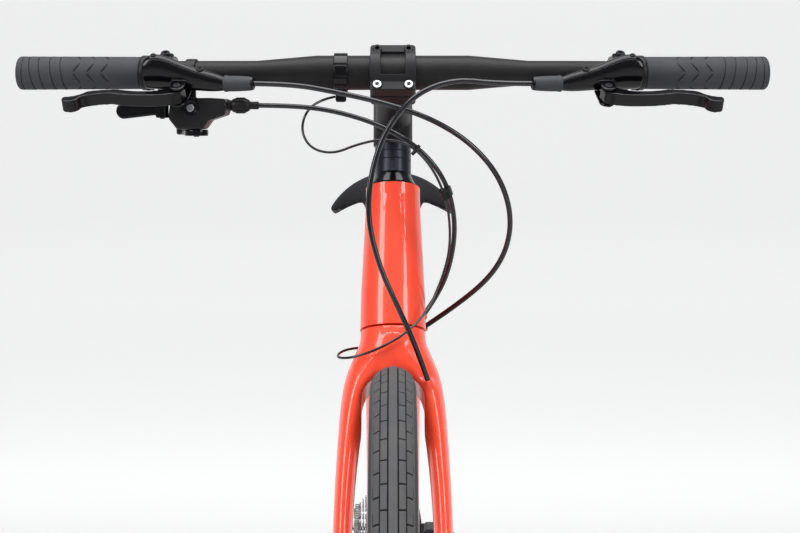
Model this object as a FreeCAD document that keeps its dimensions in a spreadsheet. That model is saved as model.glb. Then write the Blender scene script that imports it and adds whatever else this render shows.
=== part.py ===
"""Flat-bar hybrid bicycle with disc brakes and one chainring, as an assembly of separate pieces.

Millimetres. +X is forward, +Y the rider's left, +Z up. The origin lies on the ground, midway
between the two tyre contacts. Every driving dimension is a named cell of the sheet "Sizes".
"""

import FreeCAD, Part
import math
import os

import Sketcher
from FreeCAD import Placement, Rotation, Vector

SIZES = [
    # Layout of the bicycle
    ("wheelbase", 1060, "front axle to rear axle"),
    ("tyre_radius", 350, "axle to ground"),
    ("head_angle", 71, "degrees of the steering axis from level"),
    ("seat_angle", 73.5, "degrees of the seat tube from level"),
    ("chainstay_length", 440, "bottom bracket axis to rear axle"),
    ("bracket_drop", 70, "bottom bracket axis below the axles"),
    ("fork_length", 404, "axle to crown race"),
    ("fork_rake", 47, "axle ahead of the steering axis"),
    # Wheels
    ("tyre_width", 40, "widest point of the tyre"),
    ("tyre_wall", 3, "thickness of the casing"),
    ("bead_seat_radius", 311, "rim bead seat"),
    ("rim_flange", 6, "height of the rim edge above the bead seat"),
    ("rim_width", 24, "outside width of the rim"),
    ("rim_inner_width", 20.4, "between the rim's edges"),
    ("rim_depth", 22, "rim edge to the spoke face"),
    ("spoke_count", 28, "spokes in each wheel"),
    ("spoke_radius", 0.9, "spoke wire"),
    ("nipple_radius", 2.1, "spoke nipple"),
    ("nipple_length", 12, "spoke nipple"),
    ("flange_radius", 24, "spoke circle of the hub flanges"),
    ("flange_thickness", 3.2, "hub flange"),
    ("front_spacing", 100, "between the fork ends"),
    ("rear_spacing", 142, "between the rear frame ends"),
    ("front_left_flange", 23, "flange centre from the wheel plane"),
    ("front_right_flange", 33, "flange centre from the wheel plane"),
    ("rear_left_flange", 33, "flange centre from the wheel plane"),
    ("rear_right_flange", 20, "flange centre from the wheel plane"),
    ("hub_shell_radius", 13, "hub between the flanges"),
    ("axle_radius", 6, "through axle"),
    ("running_clearance", 0.3, "radial clearance of turning fits"),
    ("seam", 0.3, "gap between pieces that move past each other"),
    # Disc brakes
    ("rotor_radius", 80, "brake disc"),
    ("rotor_thickness", 1.8, "brake disc"),
    ("rotor_track", 15, "width of the ring that the pads grip"),
    ("rotor_seat_radius", 18, "hub under the disc"),
    ("front_rotor_inset", 10.5, "disc plane from the fork end"),
    ("rear_rotor_inset", 15.5, "disc plane from the frame end"),
    ("caliper_length", 58, "along the disc's edge"),
    ("caliper_depth", 30, "towards the axle"),
    ("caliper_width", 30, "across the disc"),
    ("caliper_slot", 5.6, "slot that the disc turns in"),
    ("pad_thickness", 1.4, "brake pad"),
    # Headset, fork and stem
    ("head_tube_length", 138, "along the steering axis"),
    ("head_upper_radius", 25.5, "outside, at the top"),
    ("head_lower_radius", 30.7, "outside, at the bottom"),
    ("head_bore_radius", 19.8, "between the bearings"),
    ("upper_bearing_radius", 20.9, "outside of the upper bearing"),
    ("lower_bearing_radius", 26, "outside of the lower bearing"),
    ("bearing_height", 7.6, "headset bearings"),
    ("head_gap", 1.5, "seam between the crown and the head tube"),
    ("steerer_radius", 14.3, "upper steerer"),
    ("steerer_base_radius", 19, "lower steerer"),
    ("steerer_clearance", 0.08, "around the steerer"),
    ("cover_height", 13, "headset cover"),
    ("cover_radius", 22, "headset cover, at the head tube"),
    ("spacer_radius", 17.2, "spacers under the stem"),
    ("lower_spacer", 13.5, "height"),
    ("upper_spacer", 16, "height"),
    ("stem_length", 90, "steerer axis to bar axis"),
    ("stem_rise", 14, "degrees above square to the steerer"),
    ("stem_clamp_height", 43, "along the steerer"),
    ("stem_clamp_radius", 18.6, "around the steerer"),
    ("bar_clamp_width", 42, "along the bar"),
    ("bar_clamp_radius", 20.6, "outside of the bar clamp"),
    ("bar_clamp_split", 0.6, "half of the gap between stem and faceplate"),
    ("clamp_bolt_radius", 2.5, "stem bolts"),
    ("clamp_bolt_head", 4.2, "radius of the bolt heads"),
    ("clamp_bolt_spread", 29, "between the faceplate bolts, along the bar"),
    ("clamp_bolt_height", 21, "faceplate bolts from the bar axis"),
    ("crown_clearance", 9, "tyre to the fork crown"),
    ("fork_end_thickness", 12, "fork ends, along the axle"),
    ("fork_end_radius", 12, "fork ends"),
    # Handlebar and controls
    ("bar_width", 700, "over the grips"),
    ("bar_radius", 15.9, "at the stem"),
    ("bar_end_radius", 11.1, "under the grips"),
    ("bar_bulge", 70, "half length of the thick middle"),
    ("bar_taper_end", 125, "where the taper ends, from the middle"),
    ("bar_sweep", 9, "degrees that the ends sweep back"),
    ("bar_bend_radius", 150, "axis of the bend"),
    ("grip_length", 130, "with its collar"),
    ("grip_radius", 15.6, "outside"),
    ("grip_end", 4, "thickness of the closed end"),
    ("collar_width", 11, "grip clamp"),
    ("collar_radius", 16.2, "grip clamp"),
    ("fit_gap", 0.05, "radial gap of parts clamped on the bar"),
    ("lever_tilt", 28, "degrees that the levers point below level"),
    ("perch_width", 14, "brake clamp along the bar"),
    ("perch_radius", 15.4, "brake clamp"),
    ("lever_reach", 43, "bar axis to the lever pivot"),
    ("lever_height", 12, "blade"),
    ("lever_length", 85, "brake clamp to the blade's tip, along the bar"),
    ("lever_pin_radius", 2.5, "lever pivot"),
    ("boot_length", 28, "rubber boot on the hose"),
    ("boot_radius", 7.2, "rubber boot on the hose"),
    ("pod_depth", 26, "shifter, front to back"),
    ("barrel_radius", 7.4, "cable adjuster"),
    ("barrel_length", 17, "cable adjuster"),
    ("bracket_offset", 48, "bar bracket from the middle"),
    ("bracket_width", 13, "bar bracket band"),
    ("bracket_radius", 18.4, "bar bracket band"),
    # Hoses and wire
    ("hose_diameter", 5, "brake hoses"),
    ("housing_diameter", 4.6, "gear cable housing"),
    ("wire_diameter", 2.4, "sensor wire"),
    # Frame tubes
    ("seat_tube_length", 480, "bottom bracket axis to the top"),
    ("seat_tube_radius", 17.5, "outside"),
    ("post_radius", 13.6, "seat post"),
    ("post_length", 270, "seat post below its head"),
    ("post_exposed", 45, "seat tube top to the saddle rails"),
    ("collar_height", 14, "seat collar"),
    ("collar_wall", 4, "seat collar"),
    ("top_tube_drop", 38, "top tube axis below the head tube's top"),
    ("top_tube_seat_drop", 34, "top tube axis below the seat tube's top"),
    ("down_tube_lift", 48, "down tube axis above the head tube's foot"),
    ("tube_wall", 2.4, "frame tube wall"),
    ("bracket_shell_radius", 23, "bottom bracket shell"),
    ("bracket_shell_width", 73, "bottom bracket shell"),
    ("stay_drop", 118, "seat stays join this far below the seat tube's top"),
    ("frame_end_thickness", 6, "rear frame ends"),
    ("frame_end_radius", 15, "rear frame ends"),
    ("boss_radius", 2.1, "threaded holes for accessories"),
    ("boss_spacing", 64, "bottle cage holes"),
    ("boss_distance", 250, "bottle cage holes from the bottom bracket"),
    # Drive
    ("chain_pitch", 12.7, "roller to roller"),
    ("roller_radius", 3.85, "chain roller"),
    ("chain_inner_width", 2.2, "between the inner plates"),
    ("chain_plate", 0.75, "plate thickness"),
    ("chain_plate_height", 8, "plate height"),
    ("chain_play", 0.1, "between plates, and around the pins"),
    ("chain_pin_radius", 1.8, "rivets"),
    ("chainring_teeth", 40, "chainring"),
    ("chainring_thickness", 1.8, "teeth"),
    ("cog_thickness", 1.6, "teeth"),
    ("cog_pitch", 3.74, "cog to cog"),
    ("small_cog_inset", 5.5, "smallest cog from the frame end"),
    ("pulley_teeth", 11, "jockey wheels"),
    ("cage_length", 62, "between the jockey wheels"),
    ("link_length", 45, "rear mechanism's parallelogram"),
    ("link_spread", 12, "between the two links"),
    ("link_tilt", 18, "degrees forward from plumb"),
    ("crank_length", 172.5, "axis to pedal axis"),
    ("spindle_radius", 12, "crank spindle"),
    ("crank_inset", 58, "wheel plane to the crank arms' inner faces"),
    ("crank_thickness", 14, "crank arm"),
    ("pedal_length", 96, "platform, front to back"),
    ("pedal_width", 92, "platform, along the axle"),
    ("pedal_height", 17, "platform"),
    ("pedal_axle_radius", 4.5, "pedal axle"),
    # Saddle
    ("saddle_length", 272, "nose to tail"),
    ("saddle_width", 153, "widest point"),
    ("saddle_rise", 56, "rails to the ridge"),
    ("saddle_droop", 44, "ridge to the wings' edges"),
    ("saddle_thickness", 22, "pad and shell"),
    ("rail_radius", 3.5, "saddle rails"),
    ("rail_spacing", 44, "between the rails"),
]

COG_TEETH = [11, 13, 15, 17, 19, 21, 23, 25, 27, 30, 34]
COG_IN_USE = 5

doc = FreeCAD.newDocument("hybrid_bicycle")
sheet = doc.addObject("Spreadsheet::Sheet", "Sizes")
for row, (alias, value, meaning) in enumerate(SIZES, start=1):
    sheet.set(f"A{row}", alias)
    sheet.set(f"B{row}", str(value))
    sheet.setAlias(f"B{row}", alias)
    sheet.set(f"C{row}", meaning)
doc.recompute()


class Dimensions:
    """Reads a named cell of the sheet as a plain number."""

    def __getattr__(self, alias):
        return float(sheet.get(alias))


D = Dimensions()
X_AXIS = Vector(1, 0, 0)
Y_AXIS = Vector(0, 1, 0)
Z_AXIS = Vector(0, 0, 1)


def number(expression):
    """Value of a sheet expression, as the sketches will see it."""
    return float(sheet.evalExpression(expression))


def in_sheet(expression):
    """Expression text with each size written as a cell of the sheet."""
    names = {alias for alias, _, _ in SIZES}
    words = []
    word = ""
    for letter in expression + " ":
        if letter.isalnum() or letter == "_":
            word += letter
            continue
        words.append(f"Sizes.{word}" if word in names else word)
        words.append(letter)
        word = ""
    return "".join(words).strip()


def bind(item, name, expression):
    """Ties a property or a sketch constraint to the sheet."""
    item.setExpression(name, in_sheet(expression))


def new_body(label):
    body = doc.addObject("PartDesign::Body", label)
    body.Label = label
    return body


def new_sketch(body, role):
    """Empty sketch on one of the body's own planes."""
    sketch = body.newObject("Sketcher::SketchObject", "Sketch")
    plane = next(item for item in body.Origin.OriginFeatures if item.Role == role)
    sketch.AttachmentSupport = [(plane, "")]
    sketch.MapMode = "FlatFace"
    return sketch


def fix_point(sketch, geometry, end, across, up):
    """Holds one point of a sketch at two sheet expressions."""
    for kind, expression in (("DistanceX", across), ("DistanceY", up)):
        value = number(in_sheet(expression))
        index = sketch.addConstraint(Sketcher.Constraint(kind, geometry, end, value))
        bind(sketch, f"Constraints[{index}]", expression)


def add_outline(sketch, corners):
    """Closed outline. A corner is (x, y), or (x, y, radius, turn) where the edge that leaves it is
    an arc of that radius, turning left for +1 and right for -1, the long way round for +2 and -2.
    """
    points = []
    for corner in corners:
        points.append(Vector(number(in_sheet(corner[0])), number(in_sheet(corner[1])), 0))
    count = len(corners)
    heads = []
    tails = []
    for index, corner in enumerate(corners):
        start = points[index]
        finish = points[(index + 1) % count]
        if len(corner) == 2:
            geometry = sketch.addGeometry(Part.LineSegment(start, finish), False)
            heads.append((geometry, 1))
            tails.append((geometry, 2))
            continue
        radius = number(in_sheet(corner[2]))
        turn = corner[3]
        chord = finish.sub(start)
        middle = start.add(finish).multiply(0.5)
        height = math.sqrt(max(radius ** 2 - (chord.Length / 2) ** 2, 0))
        side = Vector(-chord.y, chord.x, 0).normalize()
        lean = 1 if turn in (1, -2) else -1
        centre = middle.add(side.multiply(height * lean))
        first = math.atan2(start.y - centre.y, start.x - centre.x)
        last = math.atan2(finish.y - centre.y, finish.x - centre.x)
        circle = Part.Circle(centre, Z_AXIS, radius)
        if turn > 0:
            arc = Part.ArcOfCircle(circle, first, last)
        else:
            arc = Part.ArcOfCircle(circle, last, first)
        geometry = sketch.addGeometry(arc, False)
        index = sketch.addConstraint(Sketcher.Constraint("Radius", geometry, radius))
        bind(sketch, f"Constraints[{index}]", corner[2])
        heads.append((geometry, 1 if turn > 0 else 2))
        tails.append((geometry, 2 if turn > 0 else 1))
    for index in range(count):
        following = heads[(index + 1) % count]
        sketch.addConstraint(Sketcher.Constraint("Coincident", *tails[index], *following))
    for index, corner in enumerate(corners):
        fix_point(sketch, *heads[index], corner[0], corner[1])


def add_circle(sketch, across, up, radius):
    centre = Vector(number(in_sheet(across)), number(in_sheet(up)), 0)
    circle = Part.Circle(centre, Z_AXIS, number(in_sheet(radius)))
    geometry = sketch.addGeometry(circle, False)
    index = sketch.addConstraint(Sketcher.Constraint("Radius", geometry, circle.Radius))
    bind(sketch, f"Constraints[{index}]", radius)
    fix_point(sketch, geometry, 3, across, up)


def turned(label, role, corners, place=Placement()):
    """Body turned round the upright axis of a sketch: Y for XY_Plane, Z for XZ_Plane."""
    body = new_body(label)
    sketch = new_sketch(body, role)
    add_outline(sketch, corners)
    turn = body.newObject("PartDesign::Revolution", "Turn")
    turn.Profile = sketch
    turn.ReferenceAxis = (sketch, ["V_Axis"])
    turn.Angle = 360
    sketch.Visibility = False
    body.Placement = place
    return body


def padded(label, role, corners, thickness, place=Placement(), circles=()):
    """Body padded evenly to both sides of a sketch."""
    body = new_body(label)
    sketch = new_sketch(body, role)
    if corners:
        add_outline(sketch, corners)
    for circle in circles:
        add_circle(sketch, *circle)
    pad = body.newObject("PartDesign::Pad", "Pad")
    pad.Profile = sketch
    pad.Midplane = True
    bind(pad, "Length", thickness)
    body.Placement = place
    return body


def pocket_ring(body, role, corners, circles, copies):
    """Cuts one opening through a body and repeats it round the body's Y axis."""
    sketch = new_sketch(body, role)
    if corners:
        add_outline(sketch, corners)
    for circle in circles:
        add_circle(sketch, *circle)
    pocket = body.newObject("PartDesign::Pocket", "Opening")
    pocket.Profile = sketch
    pocket.Type = "ThroughAll"
    pocket.Midplane = True
    pattern = body.newObject("PartDesign::PolarPattern", "Ring")
    pattern.Originals = [pocket]
    pattern.Axis = (next(item for item in body.Origin.OriginFeatures if item.Role == "Y_Axis"), [""])
    pattern.Angle = 360
    pattern.Occurrences = copies
    body.Tip = pattern


def primitive(kind, label, place=Placement(), **sizes):
    """Part primitive with its sizes tied to the sheet."""
    item = doc.addObject(kind, label)
    item.Label = label
    for name, expression in sizes.items():
        bind(item, name, expression)
    item.Placement = place
    return item


def boolean(kind, label, base, tool):
    item = doc.addObject(kind, label)
    item.Label = label
    item.Base = base
    item.Tool = tool
    return item


def fused(label, items):
    item = doc.addObject("Part::MultiFuse", label)
    item.Label = label
    item.Shapes = items
    item.Refine = True
    return item


def grouped(label, items, place=Placement()):
    """One sub-part of several solids that stay separate."""
    item = doc.addObject("Part::Compound", label)
    item.Label = label
    item.Links = items
    item.Placement = place
    return item


def mirrored(label, source):
    """The same piece on the other side of the bicycle."""
    item = doc.addObject("Part::Mirroring", label)
    item.Label = label
    item.Source = source
    item.Normal = Y_AXIS
    return item


def shaped(label, shape, place=Placement()):
    """Sub-part whose surface no sketch feature gives; its sizes come from the sheet."""
    item = doc.addObject("Part::Feature", label)
    item.Label = label
    item.Shape = shape
    item.Placement = place
    return item


def along_y(centre=Vector()):
    """Places a primitive that stands on Z so that it points along +Y."""
    return Placement(centre, Rotation(Vector(1, 0, 0), -90))


def frame_at(origin, x_axis, z_axis):
    """Placement with the given origin, X direction and Z direction."""
    return Placement(origin, Rotation(x_axis, Vector(), z_axis, "ZXY"))


def ellipse_wire(centre, x_axis, z_axis, half_x, half_y):
    """Ellipse in the plane square to z_axis, half_x along x_axis."""
    ellipse = Part.Ellipse(Vector(), max(half_x, half_y), min(half_x, half_y)) if half_x != half_y \
        else Part.Circle(Vector(), Z_AXIS, half_x)
    edge = ellipse.toShape()
    if half_y > half_x:
        edge.rotate(Vector(), Z_AXIS, 90)
    edge.Placement = frame_at(centre, x_axis, z_axis).multiply(edge.Placement)
    return Part.Wire([edge])


def lofted(wires):
    return Part.makeLoft(wires, True, False)


def shifted(point, run, distance):
    """Point moved along a direction."""
    return point.add(Vector(run).multiply(distance))


def rounded_along_x(block, radius):
    """Block with its edges along X rounded."""
    edges = [edge for edge in block.Edges if abs(edge.tangentAt(edge.FirstParameter).x) > 0.9]
    return block.makeFillet(radius, edges)


def rod(start, finish, radius):
    """Round bar between two points."""
    run = finish.sub(start)
    return Part.makeCylinder(radius, run.Length, start, run)


def box(corner, opposite):
    """Block between two opposite corners."""
    low = Vector(min(corner.x, opposite.x), min(corner.y, opposite.y), min(corner.z, opposite.z))
    size = Vector(abs(corner.x - opposite.x), abs(corner.y - opposite.y), abs(corner.z - opposite.z))
    return Part.makeBox(size.x, size.y, size.z, low)


def rounded_path(points, share=0.45):
    """Straight runs joined by tangent arcs, each as large as its two runs allow."""
    edges = []
    radii = []
    here = points[0]
    for before, corner, after in zip(points, points[1:], points[2:]):
        towards = corner.sub(before)
        away = after.sub(corner)
        reach = share * min(towards.Length, away.Length)
        towards.normalize()
        away.normalize()
        half_turn = towards.getAngle(away) / 2
        radii.append(reach / math.tan(half_turn))
        first = corner.sub(Vector(towards).multiply(reach))
        last = corner.add(Vector(away).multiply(reach))
        inward = Vector(away).sub(towards).normalize()
        depth = radii[-1] * (1 / math.cos(half_turn) - 1)
        middle = corner.add(inward.multiply(depth))
        edges.append(Part.LineSegment(here, first).toShape())
        edges.append(Part.Arc(first, middle, last).toShape())
        here = last
    edges.append(Part.LineSegment(here, points[-1]).toShape())
    return Part.Wire(edges), radii


def cord(name, points, diameter):
    """Round cord along a route, with its bends printed for checking."""
    path, radii = rounded_path(points)
    heading = points[1].sub(points[0])
    circle = Part.Wire([Part.Circle(points[0], heading, diameter / 2).toShape()])
    solid = path.makePipeShell([circle], True, False)
    section = math.pi * diameter ** 2 / 4
    ratio = solid.Volume / (section * path.Length)
    print(f"{name}: length {path.Length:.0f}, least radius {min(radii):.1f}, volume ratio {ratio:.4f}")
    return solid


def capsule(first, first_radius, second, second_radius, low, high):
    """Plate with two round ends joined by tangents, seen from the side, between two Y levels."""
    start = Vector(first.x, low, first.z)
    finish = Vector(second.x, low, second.z)
    run = finish.sub(start)
    lean = math.acos((first_radius - second_radius) / run.Length)
    heading = math.atan2(run.z, run.x)

    def at(centre, radius, angle):
        return centre.add(Vector(math.cos(angle), 0, math.sin(angle)).multiply(radius))

    upper = [at(start, first_radius, heading + lean), at(finish, second_radius, heading + lean)]
    lower = [at(start, first_radius, heading - lean), at(finish, second_radius, heading - lean)]
    outline = Part.Wire([
        Part.LineSegment(upper[0], upper[1]).toShape(),
        Part.Arc(upper[1], at(finish, second_radius, heading), lower[1]).toShape(),
        Part.LineSegment(lower[1], lower[0]).toShape(),
        Part.Arc(lower[0], at(start, first_radius, heading + math.pi), upper[0]).toShape(),
    ])
    return Part.Face(outline).extrude(Vector(0, high - low, 0))


def disc(centre, radius, low, high):
    """Short cylinder along Y between two Y levels."""
    return Part.makeCylinder(radius, high - low, Vector(centre.x, low, centre.z), Y_AXIS)


# Key points and directions
head = math.radians(D.head_angle)
seat = math.radians(D.seat_angle)
UP_STEER = Vector(-math.cos(head), 0, math.sin(head))
AHEAD_STEER = Vector(math.sin(head), 0, math.cos(head))
UP_SEAT = Vector(-math.cos(seat), 0, math.sin(seat))
AHEAD_SEAT = Vector(math.sin(seat), 0, math.cos(seat))
FRONT_AXLE = Vector(D.wheelbase / 2, 0, D.tyre_radius)
REAR_AXLE = Vector(-D.wheelbase / 2, 0, D.tyre_radius)
BRACKET = REAR_AXLE.add(Vector(math.sqrt(D.chainstay_length ** 2 - D.bracket_drop ** 2), 0, -D.bracket_drop))
FORK_DROP = math.sqrt(D.fork_length ** 2 - D.fork_rake ** 2)
CROWN = FRONT_AXLE.sub(Vector(AHEAD_STEER).multiply(D.fork_rake)).add(Vector(UP_STEER).multiply(FORK_DROP))
STEER = frame_at(CROWN, AHEAD_STEER, UP_STEER)
SEAT = frame_at(BRACKET, AHEAD_SEAT, UP_SEAT)
HEAD_TOP = D.head_gap + D.head_tube_length
STEM_FOOT = HEAD_TOP + D.cover_height + D.lower_spacer + D.upper_spacer
STEM_TOP = STEM_FOOT + D.stem_clamp_height
rise = math.radians(D.stem_rise)
STEM_AHEAD = STEER.Rotation.multVec(Vector(math.cos(rise), 0, math.sin(rise)))
STEM_ABOVE = STEER.Rotation.multVec(Vector(-math.sin(rise), 0, math.cos(rise)))
STEM_MIDDLE = STEER.multVec(Vector(0, 0, STEM_FOOT + D.stem_clamp_height / 2))
BAR_MIDDLE = STEM_MIDDLE.add(Vector(STEM_AHEAD).multiply(D.stem_length))
BAR = frame_at(BAR_MIDDLE, STEM_AHEAD, STEM_ABOVE)

# Routes of the hoses, the cable housing and the wire, chosen point by point
FRONT_HOSE = [
    (389.35, 135, 945.52), (399.25, 94, 945.47), (408, 56, 949.6), (416, 20, 936.6), (422, -6, 905.6),
    (425, -20, 866.6), (427, -23, 824.6), (427, -13, 782.6), (424, 4, 744.6), (416, 21, 707.6),
    (403, 33, 671.6),
]
REAR_HOSE = [
    (389.35, -135, 945.52), (399.25, -94, 945.47), (406, -50, 937.6), (409, -6, 927.6), (407, 36, 913.6),
    (399, 74, 889.6), (387, 101, 855.6), (370, 111, 814.6), (348, 100, 774.6), (324, 66, 739.6),
    (297, 26, 710.6),
]
HOUSING = [
    (374.45, -129.2, 925.57), (380.85, -88.7, 925.57), (387, -48, 919.6), (394, -8, 906.6),
    (395, 26, 885.6), (387, 49, 856.6), (374, 58, 819.6), (356, 55, 782.6), (334, 44, 748.6),
    (312, 26, 721.6),
]
WIRE = [
    (364.05, -53.5, 933.57), (368.05, -68, 930.57), (379, -81, 918.6), (389, -84, 900.6), (394, -74, 885.6),
    (395, -54, 881.6), (396, -32, 890.6), (399, -8, 895.6), (402, 16, 890.6), (398, 36, 869.6),
    (390, 49, 840.6), (377, 53, 812.6), (365, 52, 786.6), (363, 44, 760.6), (377, 32, 735.6),
    (393, 12, 716.6), (399, -12, 703.6), (395, -36, 694.6), (383, -51, 692.6), (368, -51, 695.6),
    (355, -41, 698.6), (346, -29, 698.6),
]
# Raised entries of the cords: height before the cord's end, depth past it, floor of the bore, wall
PORT_PROUD = 6
PORT_SUNK = 4
PORT_FLOOR = 0.2
PORT_WALL = 2


def vectors(route):
    return [Vector(*point) for point in route]


def cable_port(route, diameter, place):
    """Raised entry of a cord into a tube, and the bore for the cord."""
    end, before = vectors(route)[-1], vectors(route)[-2]
    run = end.sub(before).normalize()
    radius = diameter / 2
    boss = rod(shifted(end, run, -PORT_PROUD), shifted(end, run, PORT_SUNK), radius + PORT_WALL)
    bore = rod(shifted(end, run, -2 * PORT_PROUD), shifted(end, run, PORT_FLOOR), radius + D.seam)
    inverse = place.inverse()
    for item in (boss, bore):
        item.Placement = inverse.multiply(item.Placement)
    return boss, bore


# Wheels
RIM_EDGE = "bead_seat_radius + rim_flange"
CASING_RISE = "tyre_radius - tyre_width/2 - bead_seat_radius - rim_flange"
OUTER_BEAD = f"sqrt((tyre_width/2)^2 - ({CASING_RISE})^2)"
INNER_BEAD = f"sqrt((tyre_width/2 - tyre_wall)^2 - ({CASING_RISE})^2)"
TYRE_OUTLINE = [
    (RIM_EDGE, f"-{OUTER_BEAD}", "tyre_width/2", 2),
    (RIM_EDGE, OUTER_BEAD),
    (RIM_EDGE, INNER_BEAD, "tyre_width/2 - tyre_wall", -2),
    (RIM_EDGE, f"-{INNER_BEAD}"),
]
RIM_OUTLINE = [
    (RIM_EDGE, "-rim_width/2"),
    (RIM_EDGE, "-rim_inner_width/2"),
    ("bead_seat_radius", "-rim_inner_width/2"),
    ("bead_seat_radius - 2.5", "-rim_inner_width/4"),
    ("bead_seat_radius - 2.5", "rim_inner_width/4"),
    ("bead_seat_radius", "rim_inner_width/2"),
    (RIM_EDGE, "rim_inner_width/2"),
    (RIM_EDGE, "rim_width/2"),
    (f"{RIM_EDGE} - 9", "rim_width/2"),
    (f"{RIM_EDGE} - rim_depth", "rim_width/4"),
    (f"{RIM_EDGE} - rim_depth", "-rim_width/4"),
    (f"{RIM_EDGE} - 9", "-rim_width/2"),
]
BORE = "axle_radius + running_clearance"
SPOKE_LIFT = D.flange_thickness / 2 + D.spoke_radius + 0.1
CROSSINGS = 2
RIM_STAGGER = 0.06
FLANGE_LIP = 4
VALVE_SPACE = 20
VALVE_RADIUS = 3


def hub_flange(level):
    """Four corners of a hub flange, from the right side to the left."""
    return [
        ("hub_shell_radius", f"{level} - flange_thickness/2"),
        (f"flange_radius + {FLANGE_LIP}", f"{level} - flange_thickness/2"),
        (f"flange_radius + {FLANGE_LIP}", f"{level} + flange_thickness/2"),
    ]


def hub_outline(right_end, right_flange, left_flange, spacing, inset):
    """Hub from the right end to the left, with the seat of the brake disc."""
    seat_face = f"{spacing}/2 - {inset} - rotor_thickness/2"
    end = f"{spacing}/2 - seam"
    corners = [
        (BORE, right_end),
        ("axle_radius + 4", right_end),
        ("hub_shell_radius", f"-{right_flange} - 6"),
    ]
    corners += hub_flange(f"-{right_flange}")
    corners += [("hub_shell_radius", f"-{right_flange} + flange_thickness/2")]
    corners += hub_flange(left_flange)
    corners += [
        ("rotor_seat_radius + 3", f"{left_flange} + flange_thickness/2"),
        ("rotor_seat_radius + 3", seat_face),
        ("rotor_seat_radius", seat_face),
        ("rotor_seat_radius", f"{seat_face} + rotor_thickness + 3"),
        ("axle_radius + 4", f"{seat_face} + rotor_thickness + 3"),
        ("axle_radius + 4", end),
        (BORE, end),
    ]
    return corners


def flange_share(crossing, rim_radius):
    """Share of a spoke's length that lies over its hub flange."""
    edge = D.flange_radius + FLANGE_LIP + 2 * D.spoke_radius
    square = D.flange_radius ** 2 + rim_radius ** 2 - 2 * D.flange_radius * rim_radius * math.cos(crossing)
    linear = D.flange_radius * rim_radius * math.cos(crossing) - D.flange_radius ** 2
    constant = D.flange_radius ** 2 - edge ** 2
    return (math.sqrt(linear ** 2 - square * constant) - linear) / square


def spokes(left_flange, right_flange):
    """Laced spokes with nipples, in the wheel's own frame."""
    half = int(D.spoke_count) // 2
    step = 2 * math.pi / half
    rim_radius = D.bead_seat_radius + D.rim_flange - D.rim_depth - 0.7
    share = flange_share(CROSSINGS * step, rim_radius)
    laid = []
    for level, shift in ((left_flange, 0), (-right_flange, step / 2)):
        for index in range(half):
            lead = 1 if index % 2 else -1
            hub_angle = index * step + shift
            rim_angle = hub_angle + lead * CROSSINGS * step
            side = 1 if level > 0 else -1
            lift = SPOKE_LIFT
            if lead > 0:
                lift = (SPOKE_LIFT + (1 - RIM_STAGGER) * abs(level) * share) / (1 - share)
            low = Vector(math.cos(hub_angle), 0, math.sin(hub_angle)).multiply(D.flange_radius)
            low.y = level + lift * lead * side
            high = Vector(math.cos(rim_angle), 0, math.sin(rim_angle)).multiply(rim_radius)
            high.y = level * RIM_STAGGER
            run = low.sub(high).normalize()
            nipple = rod(high, high.add(run.multiply(D.nipple_length)), D.nipple_radius)
            laid.append(rod(low, high, D.spoke_radius).fuse(nipple).removeSplitter())
    return Part.makeCompound(laid)


def rotor(label, place):
    """Brake disc with a drilled ring on six arms."""
    circles = [("0", "0", "rotor_radius"), ("0", "0", "rotor_seat_radius")]
    body = padded(label, "XZ_Plane", [], "rotor_thickness", place, circles)
    inner = "rotor_seat_radius + 8"
    outer = "(rotor_radius - rotor_track)"
    window = [
        (inner, f"-0.3*({inner})"),
        (f"0.93*{outer}", f"-0.36*{outer}", outer, 1),
        (f"0.93*{outer}", f"0.36*{outer}"),
        (inner, f"0.3*({inner})"),
    ]
    pocket_ring(body, "XZ_Plane", window, [], 6)
    hole_circle = "(rotor_radius - rotor_track/2)"
    holes = [
        (f"{hole_circle} + 2.6", "0", "2"),
        (f"({hole_circle} - 2.6)*cos(9)", f"({hole_circle} - 2.6)*sin(9)", "2"),
    ]
    pocket_ring(body, "XZ_Plane", [], holes, 20)
    return body


def rim(label, place):
    """Rim with its valve."""
    ring = turned(f"{label}_ring", "XY_Plane", RIM_OUTLINE, place)
    inner = D.bead_seat_radius + D.rim_flange - D.rim_depth
    angle = math.pi * (VALVE_SPACE + 0.5) * 2 / D.spoke_count
    outward = Vector(math.cos(angle), 0, math.sin(angle))
    valve = rod(Vector(outward).multiply(inner - 38), Vector(outward).multiply(inner), VALVE_RADIUS)
    return grouped(label, [ring, shaped(f"{label}_valve", valve, place)])


front = Placement(FRONT_AXLE, Rotation())
rear = Placement(REAR_AXLE, Rotation())
FRONT_DISC = D.front_spacing / 2 - D.front_rotor_inset
REAR_DISC = D.rear_spacing / 2 - D.rear_rotor_inset
PIECES = [
    turned("front_tyre", "XY_Plane", TYRE_OUTLINE, front),
    rim("front_rim", front),
    shaped("front_spokes", spokes(D.front_left_flange, D.front_right_flange), front),
    turned("front_hub", "XY_Plane", hub_outline("seam - front_spacing/2", "front_right_flange",
           "front_left_flange", "front_spacing", "front_rotor_inset"), front),
    rotor("front_rotor", Placement(FRONT_AXLE.add(Vector(0, FRONT_DISC, 0)), Rotation())),
    turned("rear_tyre", "XY_Plane", TYRE_OUTLINE, rear),
    rim("rear_rim", rear),
    shaped("rear_spokes", spokes(D.rear_left_flange, D.rear_right_flange), rear),
    turned("rear_hub", "XY_Plane", hub_outline("-rear_right_flange - 6.5", "rear_right_flange",
           "rear_left_flange", "rear_spacing", "rear_rotor_inset"), rear),
    rotor("rear_rotor", Placement(REAR_AXLE.add(Vector(0, REAR_DISC, 0)), Rotation())),
]

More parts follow.
